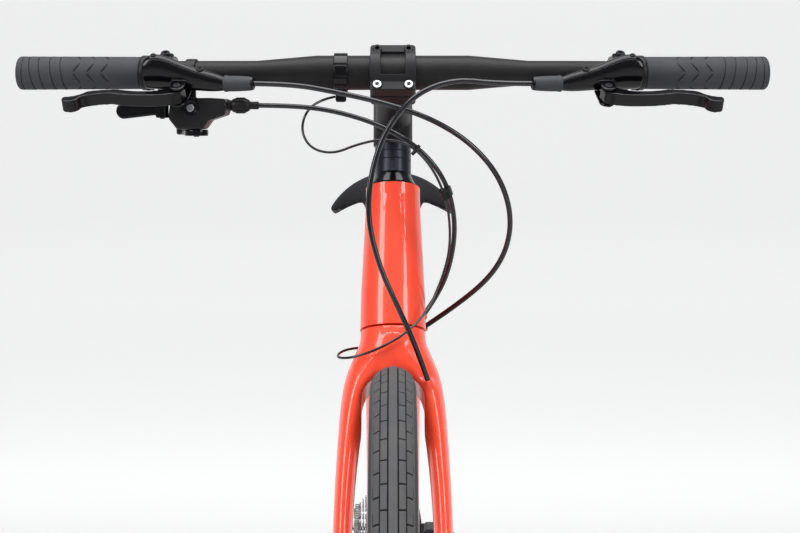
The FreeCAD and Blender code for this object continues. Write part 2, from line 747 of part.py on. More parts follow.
# Head tube, headset, fork
HEAD_OUTSIDE = [
    ("head_lower_radius", "head_gap"),
    ("head_lower_radius - 0.6", "head_gap + 0.25*head_tube_length"),
    ("head_upper_radius", "head_gap + 0.92*head_tube_length"),
    ("head_upper_radius", "head_gap + head_tube_length"),
]
HEAD_TUBE_OUTLINE = [("lower_bearing_radius", "head_gap")] + HEAD_OUTSIDE + [
    ("upper_bearing_radius", "head_gap + head_tube_length"),
    ("upper_bearing_radius", "head_gap + head_tube_length - bearing_height"),
    ("head_bore_radius", "head_gap + head_tube_length - bearing_height"),
    ("head_bore_radius", "head_gap + bearing_height"),
    ("lower_bearing_radius", "head_gap + bearing_height"),
]


def ring_outline(inner, outer, low, high):
    return [(inner, low), (outer, low), (outer, high), (inner, high)]


head_shell = turned("head_shell", "XZ_Plane", HEAD_TUBE_OUTLINE, STEER)
upper_bearing = turned("upper_bearing", "XZ_Plane", ring_outline(
    "steerer_radius + running_clearance", "upper_bearing_radius",
    "head_gap + head_tube_length - bearing_height", "head_gap + head_tube_length"), STEER)
lower_bearing = turned("lower_bearing", "XZ_Plane", ring_outline(
    "steerer_base_radius + running_clearance", "lower_bearing_radius",
    "head_gap", "head_gap + bearing_height"), STEER)
PIECES.append(grouped("head_tube", [head_shell, upper_bearing, lower_bearing]))

HEAD_END = "head_gap + head_tube_length"
STEERER_BORE = "steerer_radius + steerer_clearance"
cover = turned("headset_cover", "XZ_Plane", [
    (STEERER_BORE, f"{HEAD_END} + seam"),
    ("cover_radius", f"{HEAD_END} + seam"),
    ("cover_radius - 0.6", f"{HEAD_END} + 2.5"),
    ("spacer_radius", f"{HEAD_END} + cover_height"),
    (STEERER_BORE, f"{HEAD_END} + cover_height"),
], STEER)
spacer_a = turned("spacer_a", "XZ_Plane", ring_outline(
    STEERER_BORE, "spacer_radius", f"{HEAD_END} + cover_height",
    f"{HEAD_END} + cover_height + lower_spacer"), STEER)
spacer_b = turned("spacer_b", "XZ_Plane", ring_outline(
    STEERER_BORE, "spacer_radius - 0.2", f"{HEAD_END} + cover_height + lower_spacer",
    f"{HEAD_END} + cover_height + lower_spacer + upper_spacer"), STEER)
PIECES.append(grouped("headset_spacers", [cover, spacer_a, spacer_b]))

# Each station of a fork leg: share of the drop, share of the rake, share of the spread,
# half depth and half width
LEG_STATIONS = [
    (0.1, 0.09, 0.41, 27.8, 19.5),
    (0.2, 0.175, 0.66, 24.5, 12.3),
    (0.3, 0.245, 0.745, 22.3, 10.2),
    (0.4, 0.315, 0.795, 20.7, 9.4),
    (0.5, 0.385, 0.825, 19.3, 8.9),
    (0.6, 0.46, 0.857, 18.1, 8.5),
    (0.7, 0.56, 0.887, 17, 8.3),
    (0.8, 0.695, 0.918, 15.6, 8.1),
    (0.9, 0.84, 0.95, 14.2, 7.8),
    (1.0, 0.985, 0.99, 12.4, 7.4),
]
# Crown between the legs: depth below the seam, half depth, half width
CROWN_STATIONS = [(22, 29, 33), (48, 26, 40), (64, 22, 42)]
CROWN_RADIUS = D.head_lower_radius - 0.2
LEG_ROOT_DROP = 3
LEG_ROOT_OUT = 5
LEG_ROOT_HALF = 24


def fork_shape():
    """Fork with steerer, crown, two legs and the axle's seats, in the steering frame."""
    axle = Vector(D.fork_rake, 0, -FORK_DROP)
    spread = D.front_spacing / 2 + D.fork_end_thickness / 2
    seam_ring = ellipse_wire(Vector(), X_AXIS, Z_AXIS, CROWN_RADIUS, CROWN_RADIUS)
    solids = []
    for side in (1, -1):
        root = Vector(0, side * LEG_ROOT_OUT, -LEG_ROOT_DROP)
        wires = [ellipse_wire(root, X_AXIS, Z_AXIS, LEG_ROOT_HALF, LEG_ROOT_HALF - 1)]
        for drop, rake, out, half_depth, half_width in LEG_STATIONS:
            centre = Vector(rake * D.fork_rake, side * out * spread, -drop * FORK_DROP)
            wires.append(ellipse_wire(centre, X_AXIS, Z_AXIS, half_depth, half_width))
        solids.append(lofted(wires))
        inner = D.front_spacing / 2
        low, high = sorted((side * inner, side * (inner + D.fork_end_thickness)))
        solids.append(disc(axle, D.fork_end_radius, low, high))
    wires = [seam_ring]
    for drop, half_depth, half_width in CROWN_STATIONS:
        wires.append(ellipse_wire(Vector(4, 0, -drop), X_AXIS, Z_AXIS, half_depth, half_width))
    solids.append(lofted(wires))
    solids.append(Part.makeCylinder(D.steerer_base_radius, 12))
    solids.append(Part.makeCone(D.steerer_base_radius, D.steerer_radius, 50, Vector(0, 0, 12)))
    solids.append(Part.makeCylinder(D.steerer_radius, STEM_TOP - 3))
    feet = []
    for level in (FRONT_CALIPER_LOW + 10, FRONT_CALIPER_LOW + D.caliper_length - 10):
        foot = Vector(FRONT_CALIPER_FACE, FRONT_DISC + 13, level)
        feet.append(rod(foot, foot.add(Vector(18, 0, 0)), 5))
    boss, hose_bore = cable_port(FRONT_HOSE, D.hose_diameter, STEER)
    shape = solids[0].fuse(solids[1:])
    gap = Vector(0, D.fit_gap, D.fit_gap)
    low, high = front_caliper_corners()
    shape = shape.cut(box(low.sub(gap), high.add(gap))).fuse(feet)
    middle = D.tyre_radius - D.tyre_width / 2
    bore = D.tyre_width / 2 + D.crown_clearance
    wheel_room = Part.makeTorus(middle, bore, axle, Y_AXIS).fuse(disc(axle, middle, -bore, bore))
    reach = D.front_spacing
    shape = shape.cut(wheel_room)
    shape = shape.cut(disc(axle, D.axle_radius + D.fit_gap, -reach, reach))
    half = D.front_spacing / 2
    between = box(axle.add(Vector(-30, -half, -30)), axle.add(Vector(30, half, 24)))
    outer = half + D.fork_end_thickness
    head_seat = disc(axle, D.axle_radius + AXLE_LIP + D.fit_gap, outer, outer + 10)
    return shape.cut(between).cut(head_seat).fuse(boss).cut(hose_bore)


def front_caliper_corners():
    """Lowest and highest corner of the front caliper, in the steering frame."""
    half = D.caliper_width / 2
    low = Vector(FRONT_CALIPER_FACE - D.caliper_depth, FRONT_DISC - half, FRONT_CALIPER_LOW)
    high = Vector(FRONT_CALIPER_FACE, FRONT_DISC + half, FRONT_CALIPER_LOW + D.caliper_length)
    return low, high


FRONT_CALIPER_LOW = 50 - FORK_DROP
FRONT_CALIPER_FACE = 15
AXLE_LIP = 3
PAD_HALF = 11


def caliper(axle, plane, low, high):
    """Brake caliper between two corners, slotted for the disc, with its two pads."""
    body = box(low, high)
    body = body.makeFillet(3.5, body.Edges)
    slot = D.caliper_slot / 2
    body = body.cut(disc(axle, D.rotor_radius + 3, plane - slot, plane + slot))
    pads = []
    inner = D.rotor_radius - D.rotor_track
    track = disc(axle, D.rotor_radius, plane - slot, plane + slot)
    track = track.cut(disc(axle, inner, plane - slot, plane + slot))
    middle = low.add(high).multiply(0.5)
    for side in (-1, 1):
        near, far = sorted((plane + side * slot, plane + side * (slot - D.pad_thickness)))
        lower = Vector(middle.x - PAD_HALF, near, middle.z - PAD_HALF)
        upper = Vector(middle.x + PAD_HALF, far, middle.z + PAD_HALF)
        pads.append(track.common(box(lower, upper)))
    return Part.makeCompound([body] + pads)


PIECES.append(shaped("fork", fork_shape(), STEER))
front_hub_point = Vector(D.fork_rake, 0, -FORK_DROP)
half_caliper = D.caliper_width / 2
PIECES.append(shaped("front_caliper", caliper(front_hub_point, FRONT_DISC, *front_caliper_corners()), STEER))


def through_axle(label, centre, spacing, end_thickness):
    """Through axle with a round head on the left."""
    half = f"({spacing}/2 + {end_thickness})"
    length = number(in_sheet(half))
    shaft = primitive("Part::Cylinder", f"{label}_shaft", along_y(centre.sub(Vector(0, length, 0))),
                      Radius="axle_radius", Height=f"2*{half}")
    knob = primitive("Part::Cylinder", f"{label}_head", along_y(centre.add(Vector(0, length, 0))),
                     Radius=f"axle_radius + {AXLE_LIP}", Height="4")
    return fused(label, [shaft, knob])


PIECES.append(through_axle("front_axle", FRONT_AXLE, "front_spacing", "fork_end_thickness"))
PIECES.append(through_axle("rear_axle", REAR_AXLE, "rear_spacing", "frame_end_thickness"))

# Stem, faceplate and their bolts, drawn in the bar's frame
SPLIT = D.bar_clamp_split
LUG_FRONT = 12
LUG_REAR = -14
WIDE = D.bar_clamp_width / 2
BOLT_SIDE = D.clamp_bolt_spread / 2
BOLT_PLACES = [(side * BOLT_SIDE, top * D.clamp_bolt_height) for side in (-1, 1) for top in (-1, 1)]
BOLT_HOLE = D.clamp_bolt_radius + D.fit_gap
HEAD_SINK = 3
STEERER_IN_BAR = BAR.inverse().multiply(STEER)
PINCH_LEVELS = (STEM_FOOT + 10, STEM_TOP - 10)
PINCH_BACK = -D.stem_clamp_radius - 3


def clamp_half(front_side):
    """Half of the bar clamp with the lugs of its bolts."""
    reach = D.bar_clamp_radius + 12
    lug = D.clamp_bolt_height + D.clamp_bolt_head + 1
    ring = disc(Vector(), D.bar_clamp_radius, -WIDE, WIDE)
    rear, front_face = (SPLIT, LUG_FRONT) if front_side else (LUG_REAR, -SPLIT)
    lugs = box(Vector(rear, -WIDE, -lug), Vector(front_face, WIDE, lug))
    lugs = rounded_along_x(lugs, 3)
    near, far = (SPLIT, reach) if front_side else (-reach, -SPLIT)
    half = ring.common(box(Vector(near, -WIDE, -reach), Vector(far, WIDE, reach)))
    return half.fuse(lugs)


def stem_shape():
    clamp = Part.makeCylinder(D.stem_clamp_radius, D.stem_clamp_height, Vector(0, 0, STEM_FOOT))
    ears = box(Vector(PINCH_BACK - 6, -9, STEM_FOOT + 2), Vector(-8, 9, STEM_TOP - 2))
    clamp = clamp.fuse(ears.makeFillet(3, ears.Edges))
    clamp.Placement = STEERER_IN_BAR
    length = D.stem_length
    arm = lofted([
        ellipse_wire(Vector(6 - length, 0, 0), Y_AXIS, X_AXIS, 16.5, 14),
        ellipse_wire(Vector(-0.5 * length, 0, 0), Y_AXIS, X_AXIS, 17, 15.5),
        ellipse_wire(Vector(-10, 0, 0), Y_AXIS, X_AXIS, 20, 19),
    ])
    shape = clamp.fuse([arm, clamp_half(False)])
    steerer = Part.makeCylinder(D.steerer_radius + D.steerer_clearance, 400, Vector(0, 0, STEM_FOOT - 200))
    gap = box(Vector(PINCH_BACK - 10, -0.8, STEM_FOOT - 20), Vector(-4, 0.8, STEM_TOP + 20))
    cuts = [steerer, gap]
    for level in PINCH_LEVELS:
        cuts.append(disc(Vector(PINCH_BACK, 0, level), BOLT_HOLE, -30, 30))
    for cut in cuts:
        cut.Placement = STEERER_IN_BAR.multiply(cut.Placement)
    cuts.append(disc(Vector(), D.bar_radius + D.fit_gap, -60, 60))
    for across, above in BOLT_PLACES:
        cuts.append(rod(Vector(-20, across, above), Vector(20, across, above), BOLT_HOLE))
    return shape.cut(cuts).removeSplitter()


def faceplate_shape():
    """Faceplate with an open window between its bolts."""
    shape = clamp_half(True)
    window = box(Vector(5, -10, -8), Vector(40, 10, 17))
    cuts = [rounded_along_x(window, 2.5), disc(Vector(), D.bar_radius + D.fit_gap, -60, 60)]
    for across, above in BOLT_PLACES:
        outer = Vector(40, across, above)
        cuts.append(rod(Vector(-20, across, above), outer, BOLT_HOLE))
        cuts.append(rod(Vector(LUG_FRONT - HEAD_SINK, across, above), outer, D.clamp_bolt_head + 0.2))
    return shape.cut(cuts).removeSplitter()


def bolt(head_from, head_to, shaft_to, head_radius, shaft_radius):
    """Socket bolt: the head between two points, the shaft on to a third."""
    run = head_to.sub(head_from).normalize()
    shape = rod(head_from, head_to, head_radius).fuse(rod(head_to, shaft_to, shaft_radius))
    socket = rod(shifted(head_from, run, -0.1), shifted(head_from, run, 2.6), shaft_radius)
    return shape.cut(socket)


def stem_bolts():
    bolts = []
    for across, above in BOLT_PLACES:
        front_face = LUG_FRONT - HEAD_SINK
        bolts.append(bolt(Vector(front_face + 5, across, above), Vector(front_face, across, above),
                          Vector(LUG_REAR + 1, across, above), D.clamp_bolt_head, D.clamp_bolt_radius))
    steerer_frame = []
    for level in PINCH_LEVELS:
        steerer_frame.append(bolt(Vector(PINCH_BACK, 13, level), Vector(PINCH_BACK, 9, level),
                                  Vector(PINCH_BACK, -8, level), D.clamp_bolt_head, D.clamp_bolt_radius))
    steerer_frame.append(bolt(Vector(0, 0, STEM_TOP + 7), Vector(0, 0, STEM_TOP + 3.5),
                              Vector(0, 0, STEM_TOP - 2.9), D.clamp_bolt_head, D.clamp_bolt_radius))
    cap = Part.makeCylinder(D.spacer_radius, 3.5, Vector(0, 0, STEM_TOP))
    cap = cap.cut(Part.makeCylinder(BOLT_HOLE, 14, Vector(0, 0, STEM_TOP - 5)))
    steerer_frame.append(cap)
    for item in steerer_frame:
        item.Placement = STEERER_IN_BAR.multiply(item.Placement)
    return Part.makeCompound(bolts + steerer_frame)


PIECES.append(shaped("stem", stem_shape(), BAR))
PIECES.append(shaped("stem_faceplate", faceplate_shape(), BAR))
PIECES.append(shaped("stem_hardware", stem_bolts(), BAR))

# Handlebar, drawn from its middle with the row's own axes
sweep = math.radians(D.bar_sweep)


def on_bend(angle):
    """Point of the bar's axis after a bend of that angle."""
    back = D.bar_bend_radius * (1 - math.cos(angle))
    return Vector(-back, D.bar_taper_end + D.bar_bend_radius * math.sin(angle), 0)


BEND_END = on_bend(sweep)
OUTWARD = Vector(-math.sin(sweep), math.cos(sweep), 0)
BAR_TIP = BEND_END.add(Vector(OUTWARD).multiply((D.bar_width / 2 - BEND_END.y) / math.cos(sweep)))
TUBE_TIP = BAR_TIP.sub(Vector(OUTWARD).multiply(D.grip_end))


def bar_half():
    middle = Part.makeCylinder(D.bar_radius, D.bar_bulge, Vector(), Y_AXIS)
    taper = Part.makeCone(D.bar_radius, D.bar_end_radius, D.bar_taper_end - D.bar_bulge,
                          Vector(0, D.bar_bulge, 0), Y_AXIS)
    start = Vector(0, D.bar_taper_end, 0)
    bend = Part.Arc(start, on_bend(sweep / 2), BEND_END)
    path = Part.Wire([bend.toShape(), Part.LineSegment(BEND_END, TUBE_TIP).toShape()])
    ring = Part.Wire([Part.Circle(start, Y_AXIS, D.bar_end_radius).toShape()])
    return middle.fuse([taper, path.makePipeShell([ring], True, False)])


left_bar = bar_half()
right_bar = left_bar.mirror(Vector(), Y_AXIS)
at_bar = Placement(BAR_MIDDLE, Rotation())
PIECES.append(shaped("handlebar", left_bar.fuse(right_bar).removeSplitter(), at_bar))

BAR_END = frame_at(BAR_MIDDLE.add(BAR_TIP), Vector(math.cos(sweep), math.sin(sweep), 0), OUTWARD)
GRIP_BORE = "bar_end_radius + fit_gap"
grip_rubber = turned("grip_rubber", "XZ_Plane", [
    ("0", "0"),
    ("0", "-grip_end"),
    (GRIP_BORE, "-grip_end"),
    (GRIP_BORE, "collar_width - grip_length"),
    ("grip_radius - 0.6", "collar_width - grip_length"),
    ("grip_radius - 0.6", "-0.5*grip_length"),
    ("grip_radius", "-0.14*grip_length"),
    ("grip_radius", "-3", "3", 1),
    ("grip_radius - 3", "0"),
], BAR_END)
grip_collar = turned("grip_collar", "XZ_Plane", [
    (GRIP_BORE, "-grip_length"),
    ("collar_radius - 0.8", "-grip_length"),
    ("collar_radius", "0.8 - grip_length"),
    ("collar_radius", "collar_width - 0.8 - grip_length"),
    ("collar_radius - 0.8", "collar_width - grip_length"),
    (GRIP_BORE, "collar_width - grip_length"),
], BAR_END)
grip_left = grouped("grip_left", [grip_rubber, grip_collar])
PIECES.append(grip_left)
PIECES.append(mirrored("grip_right", grip_left))

# Controls: X is the reach of the lever, Y outward along the bar, Z square to both
PERCH = D.grip_length + D.perch_width
FORWARD = Vector(math.cos(sweep), math.sin(sweep), 0)
tilt = math.radians(D.lever_tilt)
REACH = Vector(FORWARD).multiply(math.cos(tilt)).sub(Vector(0, 0, math.sin(tilt)))
LEVER_UP = Vector(FORWARD).multiply(math.sin(tilt)).add(Vector(0, 0, math.cos(tilt)))
PERCH_POINT = BAR_MIDDLE.add(BAR_TIP).sub(Vector(OUTWARD).multiply(PERCH))
CONTROL = frame_at(PERCH_POINT, REACH, LEVER_UP)
POD = frame_at(PERCH_POINT, FORWARD, Z_AXIS)
PIVOT = Vector(D.lever_reach, -18, 0)
BOOT_START = Vector(25, -58, 2)
BOOT_END = Vector(27, -58 - D.boot_length, 3)
PIVOT_HALF = 7
EAR = 2.4
# Master cylinder: distance along the bar, reach, height, half depth, half height
CYLINDER_STATIONS = [
    (16, 25, 12, 8, 14), (8, 23, 13, 10, 17), (-14, 23, 10, 9.5, 14.5),
    (-40, 25, 5, 8, 10), (-58, 25, 2, 6.4, 6.4),
]


def at_pivot(radius, low, height):
    """Cylinder on the lever's pivot axis."""
    return Part.makeCylinder(radius, height, Vector(PIVOT.x, PIVOT.y, low))


def brake_body():
    """Master cylinder with bar clamp, reservoir and lever ears; the hose boot is a piece of its own."""
    half = D.perch_width / 2
    wires = []
    for along, reach, above, half_reach, half_above in CYLINDER_STATIONS:
        wires.append(ellipse_wire(Vector(reach, along, above), X_AXIS, Y_AXIS, half_reach, half_above))
    body = lofted(wires)
    clamp = disc(Vector(), D.perch_radius, -half, half)
    neck = box(Vector(4, -half, -7), Vector(22, half, 10))
    band = box(Vector(-3, -half, 9), Vector(9, half, 20))
    band = band.makeFillet(2.5, band.Edges)
    ears = []
    for low in (-PIVOT_HALF - EAR, PIVOT_HALF):
        root = box(Vector(20, PIVOT.y - 7, low), Vector(PIVOT.x, PIVOT.y + 7, low + EAR))
        ears += [at_pivot(7, low, EAR), root]
    pin = at_pivot(D.lever_pin_radius, -PIVOT_HALF - EAR / 2, 2 * PIVOT_HALF + EAR)
    shape = body.fuse([clamp, neck, band, pin] + ears)
    bar_room = disc(Vector(), D.bar_end_radius + D.fit_gap, -60, 60)
    swing = at_pivot(9, -PIVOT_HALF, 2 * PIVOT_HALF)
    swing = swing.cut(at_pivot(D.lever_pin_radius, -PIVOT_HALF, 2 * PIVOT_HALF))
    shape = shape.cut([bar_room, swing]).removeSplitter()
    run = BOOT_END.sub(BOOT_START)
    boot = Part.makeCone(D.boot_radius, D.boot_radius - 1.2, run.Length, BOOT_START, run)
    socket = rod(shifted(BOOT_END, run, -0.4), BOOT_END.add(run), D.hose_diameter / 2 + D.fit_gap)
    return Part.makeCompound([shape, boot.cut(socket)])


def brake_lever():
    """Lever blade with its pivot eye, in the control's frame."""
    blade = padded("brake_blade", "XY_Plane", [
        ("lever_reach - 5", "-24"),
        ("lever_reach + 6", "-22", "60", 1),
        ("lever_reach + 12", "8", "120", 1),
        ("lever_reach + 8", "lever_length - 43", "60", -1),
        ("lever_reach + 15", "lever_length - 15", "9", 1),
        ("lever_reach + 23", "lever_length - 3", "5", 1),
        ("lever_reach + 14.5", "lever_length", "24", -1),
        ("lever_reach + 4", "lever_length - 19", "110", 1),
        ("lever_reach", "lever_length - 47", "90", -1),
        ("lever_reach + 3", "4", "40", -1),
        ("lever_reach - 6", "-13", "7.5", 1),
    ], "lever_height")
    below = Placement(Vector(PIVOT.x, PIVOT.y, -PIVOT_HALF - 10), Rotation())
    eye = primitive("Part::Cylinder", "lever_eye", below,
                    Radius="lever_pin_radius + running_clearance", Height=str(2 * PIVOT_HALF + 20))
    return boolean("Part::Cut", "brake_lever_left", blade, eye)


left_body = shaped("brake_body_left", brake_body(), CONTROL)
left_lever = brake_lever()
left_lever.Placement = CONTROL
PIECES.append(left_body)
PIECES.append(mirrored("brake_body_right", left_body))
PIECES.append(left_lever)
PIECES.append(mirrored("brake_lever_right", left_lever))

# Gear shifter, drawn on the left and mirrored to the right
POD_BACK = -4
POD_MIDDLE = POD_BACK + D.pod_depth / 2
BARREL = Vector(POD_MIDDLE, -60, -30)
RELEASE = Vector(POD_MIDDLE + 5, 3, 0)
THUMB = Vector(POD_MIDDLE, -28, -52)
THUMB_HUB = 6
# Outline of the pod seen from the front: distance along the bar, height
POD_OUTLINE = [
    (-6, -23.5), (-40, -23), (-57, -24), (-60, -30), (-57, -39),
    (-42, -44), (-36, -52), (-12, -52), (-4, -42),
]


def shifter_shape():
    """Pod under the bar with its strap, front cover and the pins of the two levers."""
    points = [Vector(POD_BACK, along, above) for along, above in POD_OUTLINE]
    face = Part.Face(Part.makePolygon(points + [points[0]]))
    pod = face.extrude(Vector(D.pod_depth, 0, 0))
    pod = pod.makeFillet(3, pod.Edges)
    band = disc(Vector(), 13, -27, -17)
    strap = box(Vector(3, -27, -28), Vector(9.5, -17, -6))
    strap = strap.makeFillet(1.5, strap.Edges)
    cover_disc = rod(Vector(POD_BACK + 8, -26, -32), Vector(POD_BACK + D.pod_depth + 1.5, -26, -32), 8)
    ear = box(Vector(RELEASE.x - 6, -14, -26.5), Vector(RELEASE.x + 6, RELEASE.y, -24))
    ear = ear.fuse(Part.makeCylinder(6, 2.5, Vector(RELEASE.x, RELEASE.y, -26.5)))
    pin = Part.makeCylinder(2.5, 17, Vector(RELEASE.x, RELEASE.y, -42.5))
    thumb_pin = Part.makeCylinder(3, THUMB_HUB + 2, Vector(THUMB.x, THUMB.y, THUMB.z - THUMB_HUB - 1))
    shape = pod.fuse([band, strap, cover_disc, ear, pin, thumb_pin])
    bar_room = disc(Vector(), D.bar_end_radius + D.fit_gap, -60, 60)
    swing = Part.makeCylinder(8.5, 16, Vector(RELEASE.x, RELEASE.y, -42.5))
    swing = swing.cut(Part.makeCylinder(2.5, 16, Vector(RELEASE.x, RELEASE.y, -42.5)))
    nose = rod(BARREL.sub(Vector(0, 2, 0)), BARREL.add(Vector(0, 8, 0)), 5)
    bore = rod(BARREL.sub(Vector(0, 4, 0)), BARREL.add(Vector(0, 9, 0)), 2)
    return shape.fuse(nose).cut([bar_room, swing, bore]).removeSplitter()


def barrel_shape():
    """Ribbed cable adjuster on the shifter's nose."""
    start = BARREL.sub(Vector(0, 2, 0))
    tail = start.sub(Vector(0, D.barrel_length, 0))
    barrel = rod(start, tail, D.barrel_radius)
    ribs = []
    count = 12
    for index in range(count):
        angle = 2 * math.pi * index / count
        offset = Vector(math.cos(angle), 0, math.sin(angle)).multiply(D.barrel_radius + 0.4)
        ribs.append(rod(start.add(offset).add(Vector(0, -3, 0)), tail.add(offset).add(Vector(0, 5, 0)), 1.1))
    ferrule = rod(tail, tail.sub(Vector(0, 8, 0)), 3.6)
    bore_radius = D.housing_diameter / 2 + D.running_clearance
    bore = rod(tail.sub(Vector(0, 30, 0)), start.add(Vector(0, 10, 0)), bore_radius)
    return barrel.cut(ribs).fuse(ferrule).cut(bore).removeSplitter()


def release_shape():
    """Finger lever in front of the pod, reaching outward along the bar."""
    eye = Part.makeCylinder(6, 14, Vector(RELEASE.x, RELEASE.y, -41.5))
    paddle = capsule(Vector(0, 0, 0), 5.5, Vector(34, 0, -2), 7.5, -2.5, 2.5)
    paddle = paddle.makeFillet(1.6, paddle.Edges)
    paddle.Placement = frame_at(Vector(RELEASE.x + 1, RELEASE.y + 2, -33), Y_AXIS, Z_AXIS)
    shape = eye.fuse(paddle)
    return shape.cut(Part.makeCylinder(2.5 + D.running_clearance, 40, Vector(RELEASE.x, RELEASE.y, -60)))


def thumb_shape():
    """Thumb lever under the pod, reaching back towards the rider."""
    hub = Part.makeCylinder(11, THUMB_HUB - D.seam, Vector(THUMB.x, THUMB.y, THUMB.z - THUMB_HUB))
    tip = Vector(THUMB.x - 52, THUMB.y + 24, THUMB.z - THUMB_HUB)
    paddle = Part.makeCylinder(8, 11, tip)
    paddle = paddle.makeFillet(2, paddle.Edges)
    arm = box(Vector(0, -5, 0), Vector(tip.sub(THUMB).Length - 2, 5, 4.5))
    arm.Placement = frame_at(Vector(THUMB.x, THUMB.y, tip.z), Vector(-52, 24, 0), Z_AXIS)
    shape = hub.fuse([arm, paddle])
    return shape.cut(Part.makeCylinder(3 + D.running_clearance, 60, Vector(THUMB.x, THUMB.y, THUMB.z - 30)))


for name, shape in (("shifter_body", shifter_shape()), ("barrel_adjuster", barrel_shape()),
                    ("release_lever", release_shape()), ("shift_lever", thumb_shape())):
    source = shaped(f"{name}_pattern", shape, POD)
    PIECES.append(mirrored(name, source))


def bracket_shape():
    """Band on the bar with a lug below it."""
    low, high = -D.bracket_offset - D.bracket_width / 2, -D.bracket_offset + D.bracket_width / 2
    band = disc(Vector(), D.bracket_radius, low, high)
    lug = box(Vector(-7, low + 1.5, -27), Vector(7, high - 1.5, -12))
    lug = lug.makeFillet(2, lug.Edges)
    return band.fuse(lug).cut(disc(Vector(), D.bar_radius + D.fit_gap, low - 5, high + 5)).removeSplitter()


PIECES.append(shaped("bar_bracket", bracket_shape(), at_bar))

# Frame tubes
TOP_START = STEER.multVec(Vector(0, 0, HEAD_TOP - D.top_tube_drop))
TOP_END = SEAT.multVec(Vector(0, 0, D.seat_tube_length - D.top_tube_seat_drop))
DOWN_START = STEER.multVec(Vector(0, 0, D.head_gap + D.down_tube_lift))
# Along each tube: share of its length, half width, half height
TOP_STATIONS = [(0, 24, 25), (0.35, 21, 19), (1, 15.5, 15)]
DOWN_STATIONS = [(0, 28, 30), (0.3, 27, 28), (0.8, 29, 24), (1, 31, 22)]


def straight_tube(start, finish, stations, shrink=0):
    """Tube of changing ellipse along a line in the middle plane."""
    run = finish.sub(start)
    heading = Vector(run).normalize()
    across = Y_AXIS.cross(heading)
    wires = []
    for share, half_width, half_height in stations:
        centre = start.add(Vector(run).multiply(share))
        wires.append(ellipse_wire(centre, across, heading, half_height - shrink, half_width - shrink))
    return lofted(wires)


def hollow_tube(start, finish, stations, neighbours):
    """Thin tube mitred against its neighbours."""
    outside = straight_tube(start, finish, stations)
    inside = straight_tube(start, finish, stations, D.tube_wall)
    return outside.cut(inside).cut(neighbours)


def largest(shape):
    """The main solid of a cut that leaves slivers behind."""
    return max(shape.Solids, key=lambda solid: solid.Volume)


head_room = turned("head_room", "XZ_Plane", [
    ("0", "head_gap"), *HEAD_OUTSIDE, ("0", "head_gap + head_tube_length"),
], STEER)
doc.recompute()
head_block = head_room.Shape.copy()
crown_block = Part.makeCylinder(1.6 * D.head_lower_radius, FORK_DROP / 4, Vector(0, 0, D.head_gap), Vector(0, 0, -1))
crown_block.Placement = STEER.multiply(crown_block.Placement)
seat_block = rod(BRACKET, SEAT.multVec(Vector(0, 0, D.seat_tube_length)), D.seat_tube_radius)
shell_half = D.bracket_shell_width / 2
shell_block = disc(BRACKET, D.bracket_shell_radius, -shell_half, shell_half)

down_heading = BRACKET.sub(DOWN_START).normalize()
down_across = Y_AXIS.cross(down_heading)
BOSSES = []
for step in (0, D.boss_spacing):
    on_axis = BRACKET.sub(Vector(down_heading).multiply(D.boss_distance + step))
    BOSSES.append((on_axis, Vector(down_across).multiply(-1 if down_across.z < 0 else 1)))


def down_tube_shape():
    """Down tube with two threaded bosses on its upper face."""
    neighbours = [head_block, crown_block, shell_block, seat_block]
    tube = largest(hollow_tube(DOWN_START, BRACKET, DOWN_STATIONS, neighbours))
    holes = []
    for route, diameter in ((REAR_HOSE, D.hose_diameter), (HOUSING, D.housing_diameter)):
        boss, bore = cable_port(route, diameter, Placement())
        tube = tube.fuse(boss)
        holes.append(bore)
    for on_axis, outward in BOSSES:
        base = shifted(on_axis, outward, BOSS_BASE)
        top = shifted(on_axis, outward, BOSS_TOP)
        tube = tube.fuse(rod(base, top, 6))
        holes.append(rod(base.sub(outward), top.add(outward), D.boss_radius))
    return tube.cut(holes).removeSplitter()


BOSS_BASE = 18
BOSS_TOP = 29
top_tube = hollow_tube(TOP_START, TOP_END, TOP_STATIONS, [head_block, seat_block])
PIECES.append(shaped("top_tube", largest(top_tube)))
PIECES.append(shaped("down_tube", down_tube_shape()))
seat_pipe = turned("seat_pipe", "XZ_Plane", ring_outline(
    "post_radius + running_clearance", "seat_tube_radius", "0", "seat_tube_length"), SEAT)
shell_tool = primitive("Part::Cylinder", "shell_tool", along_y(BRACKET.sub(Vector(0, shell_half, 0))),
                       Radius="bracket_shell_radius", Height="bracket_shell_width")
PIECES.append(boolean("Part::Cut", "seat_tube", seat_pipe, shell_tool))
CUP_BORE = "spindle_radius + running_clearance"
at_bracket = Placement(BRACKET, Rotation())
CUP_RADIUS = "bracket_shell_radius - 5"
shell = turned("bracket_shell", "XY_Plane", ring_outline(
    CUP_RADIUS, "bracket_shell_radius", "-bracket_shell_width/2", "bracket_shell_width/2"), at_bracket)


def cup(label, side):
    """Bearing cup pressed into one end of the bottom bracket shell."""
    face = f"{side}*bracket_shell_width/2"
    inner = f"{side}*(bracket_shell_width/2 - 14)"
    outer = f"{side}*(bracket_shell_width/2 + 7)"
    return turned(label, "XY_Plane", [
        (CUP_BORE, inner), (CUP_RADIUS, inner), (CUP_RADIUS, face),
        ("bracket_shell_radius - 1", face), ("bracket_shell_radius - 2", outer), (CUP_BORE, outer),
    ], at_bracket)


PIECES.append(grouped("bottom_bracket", [shell, cup("left_cup", "1"), cup("right_cup", "-1")]))

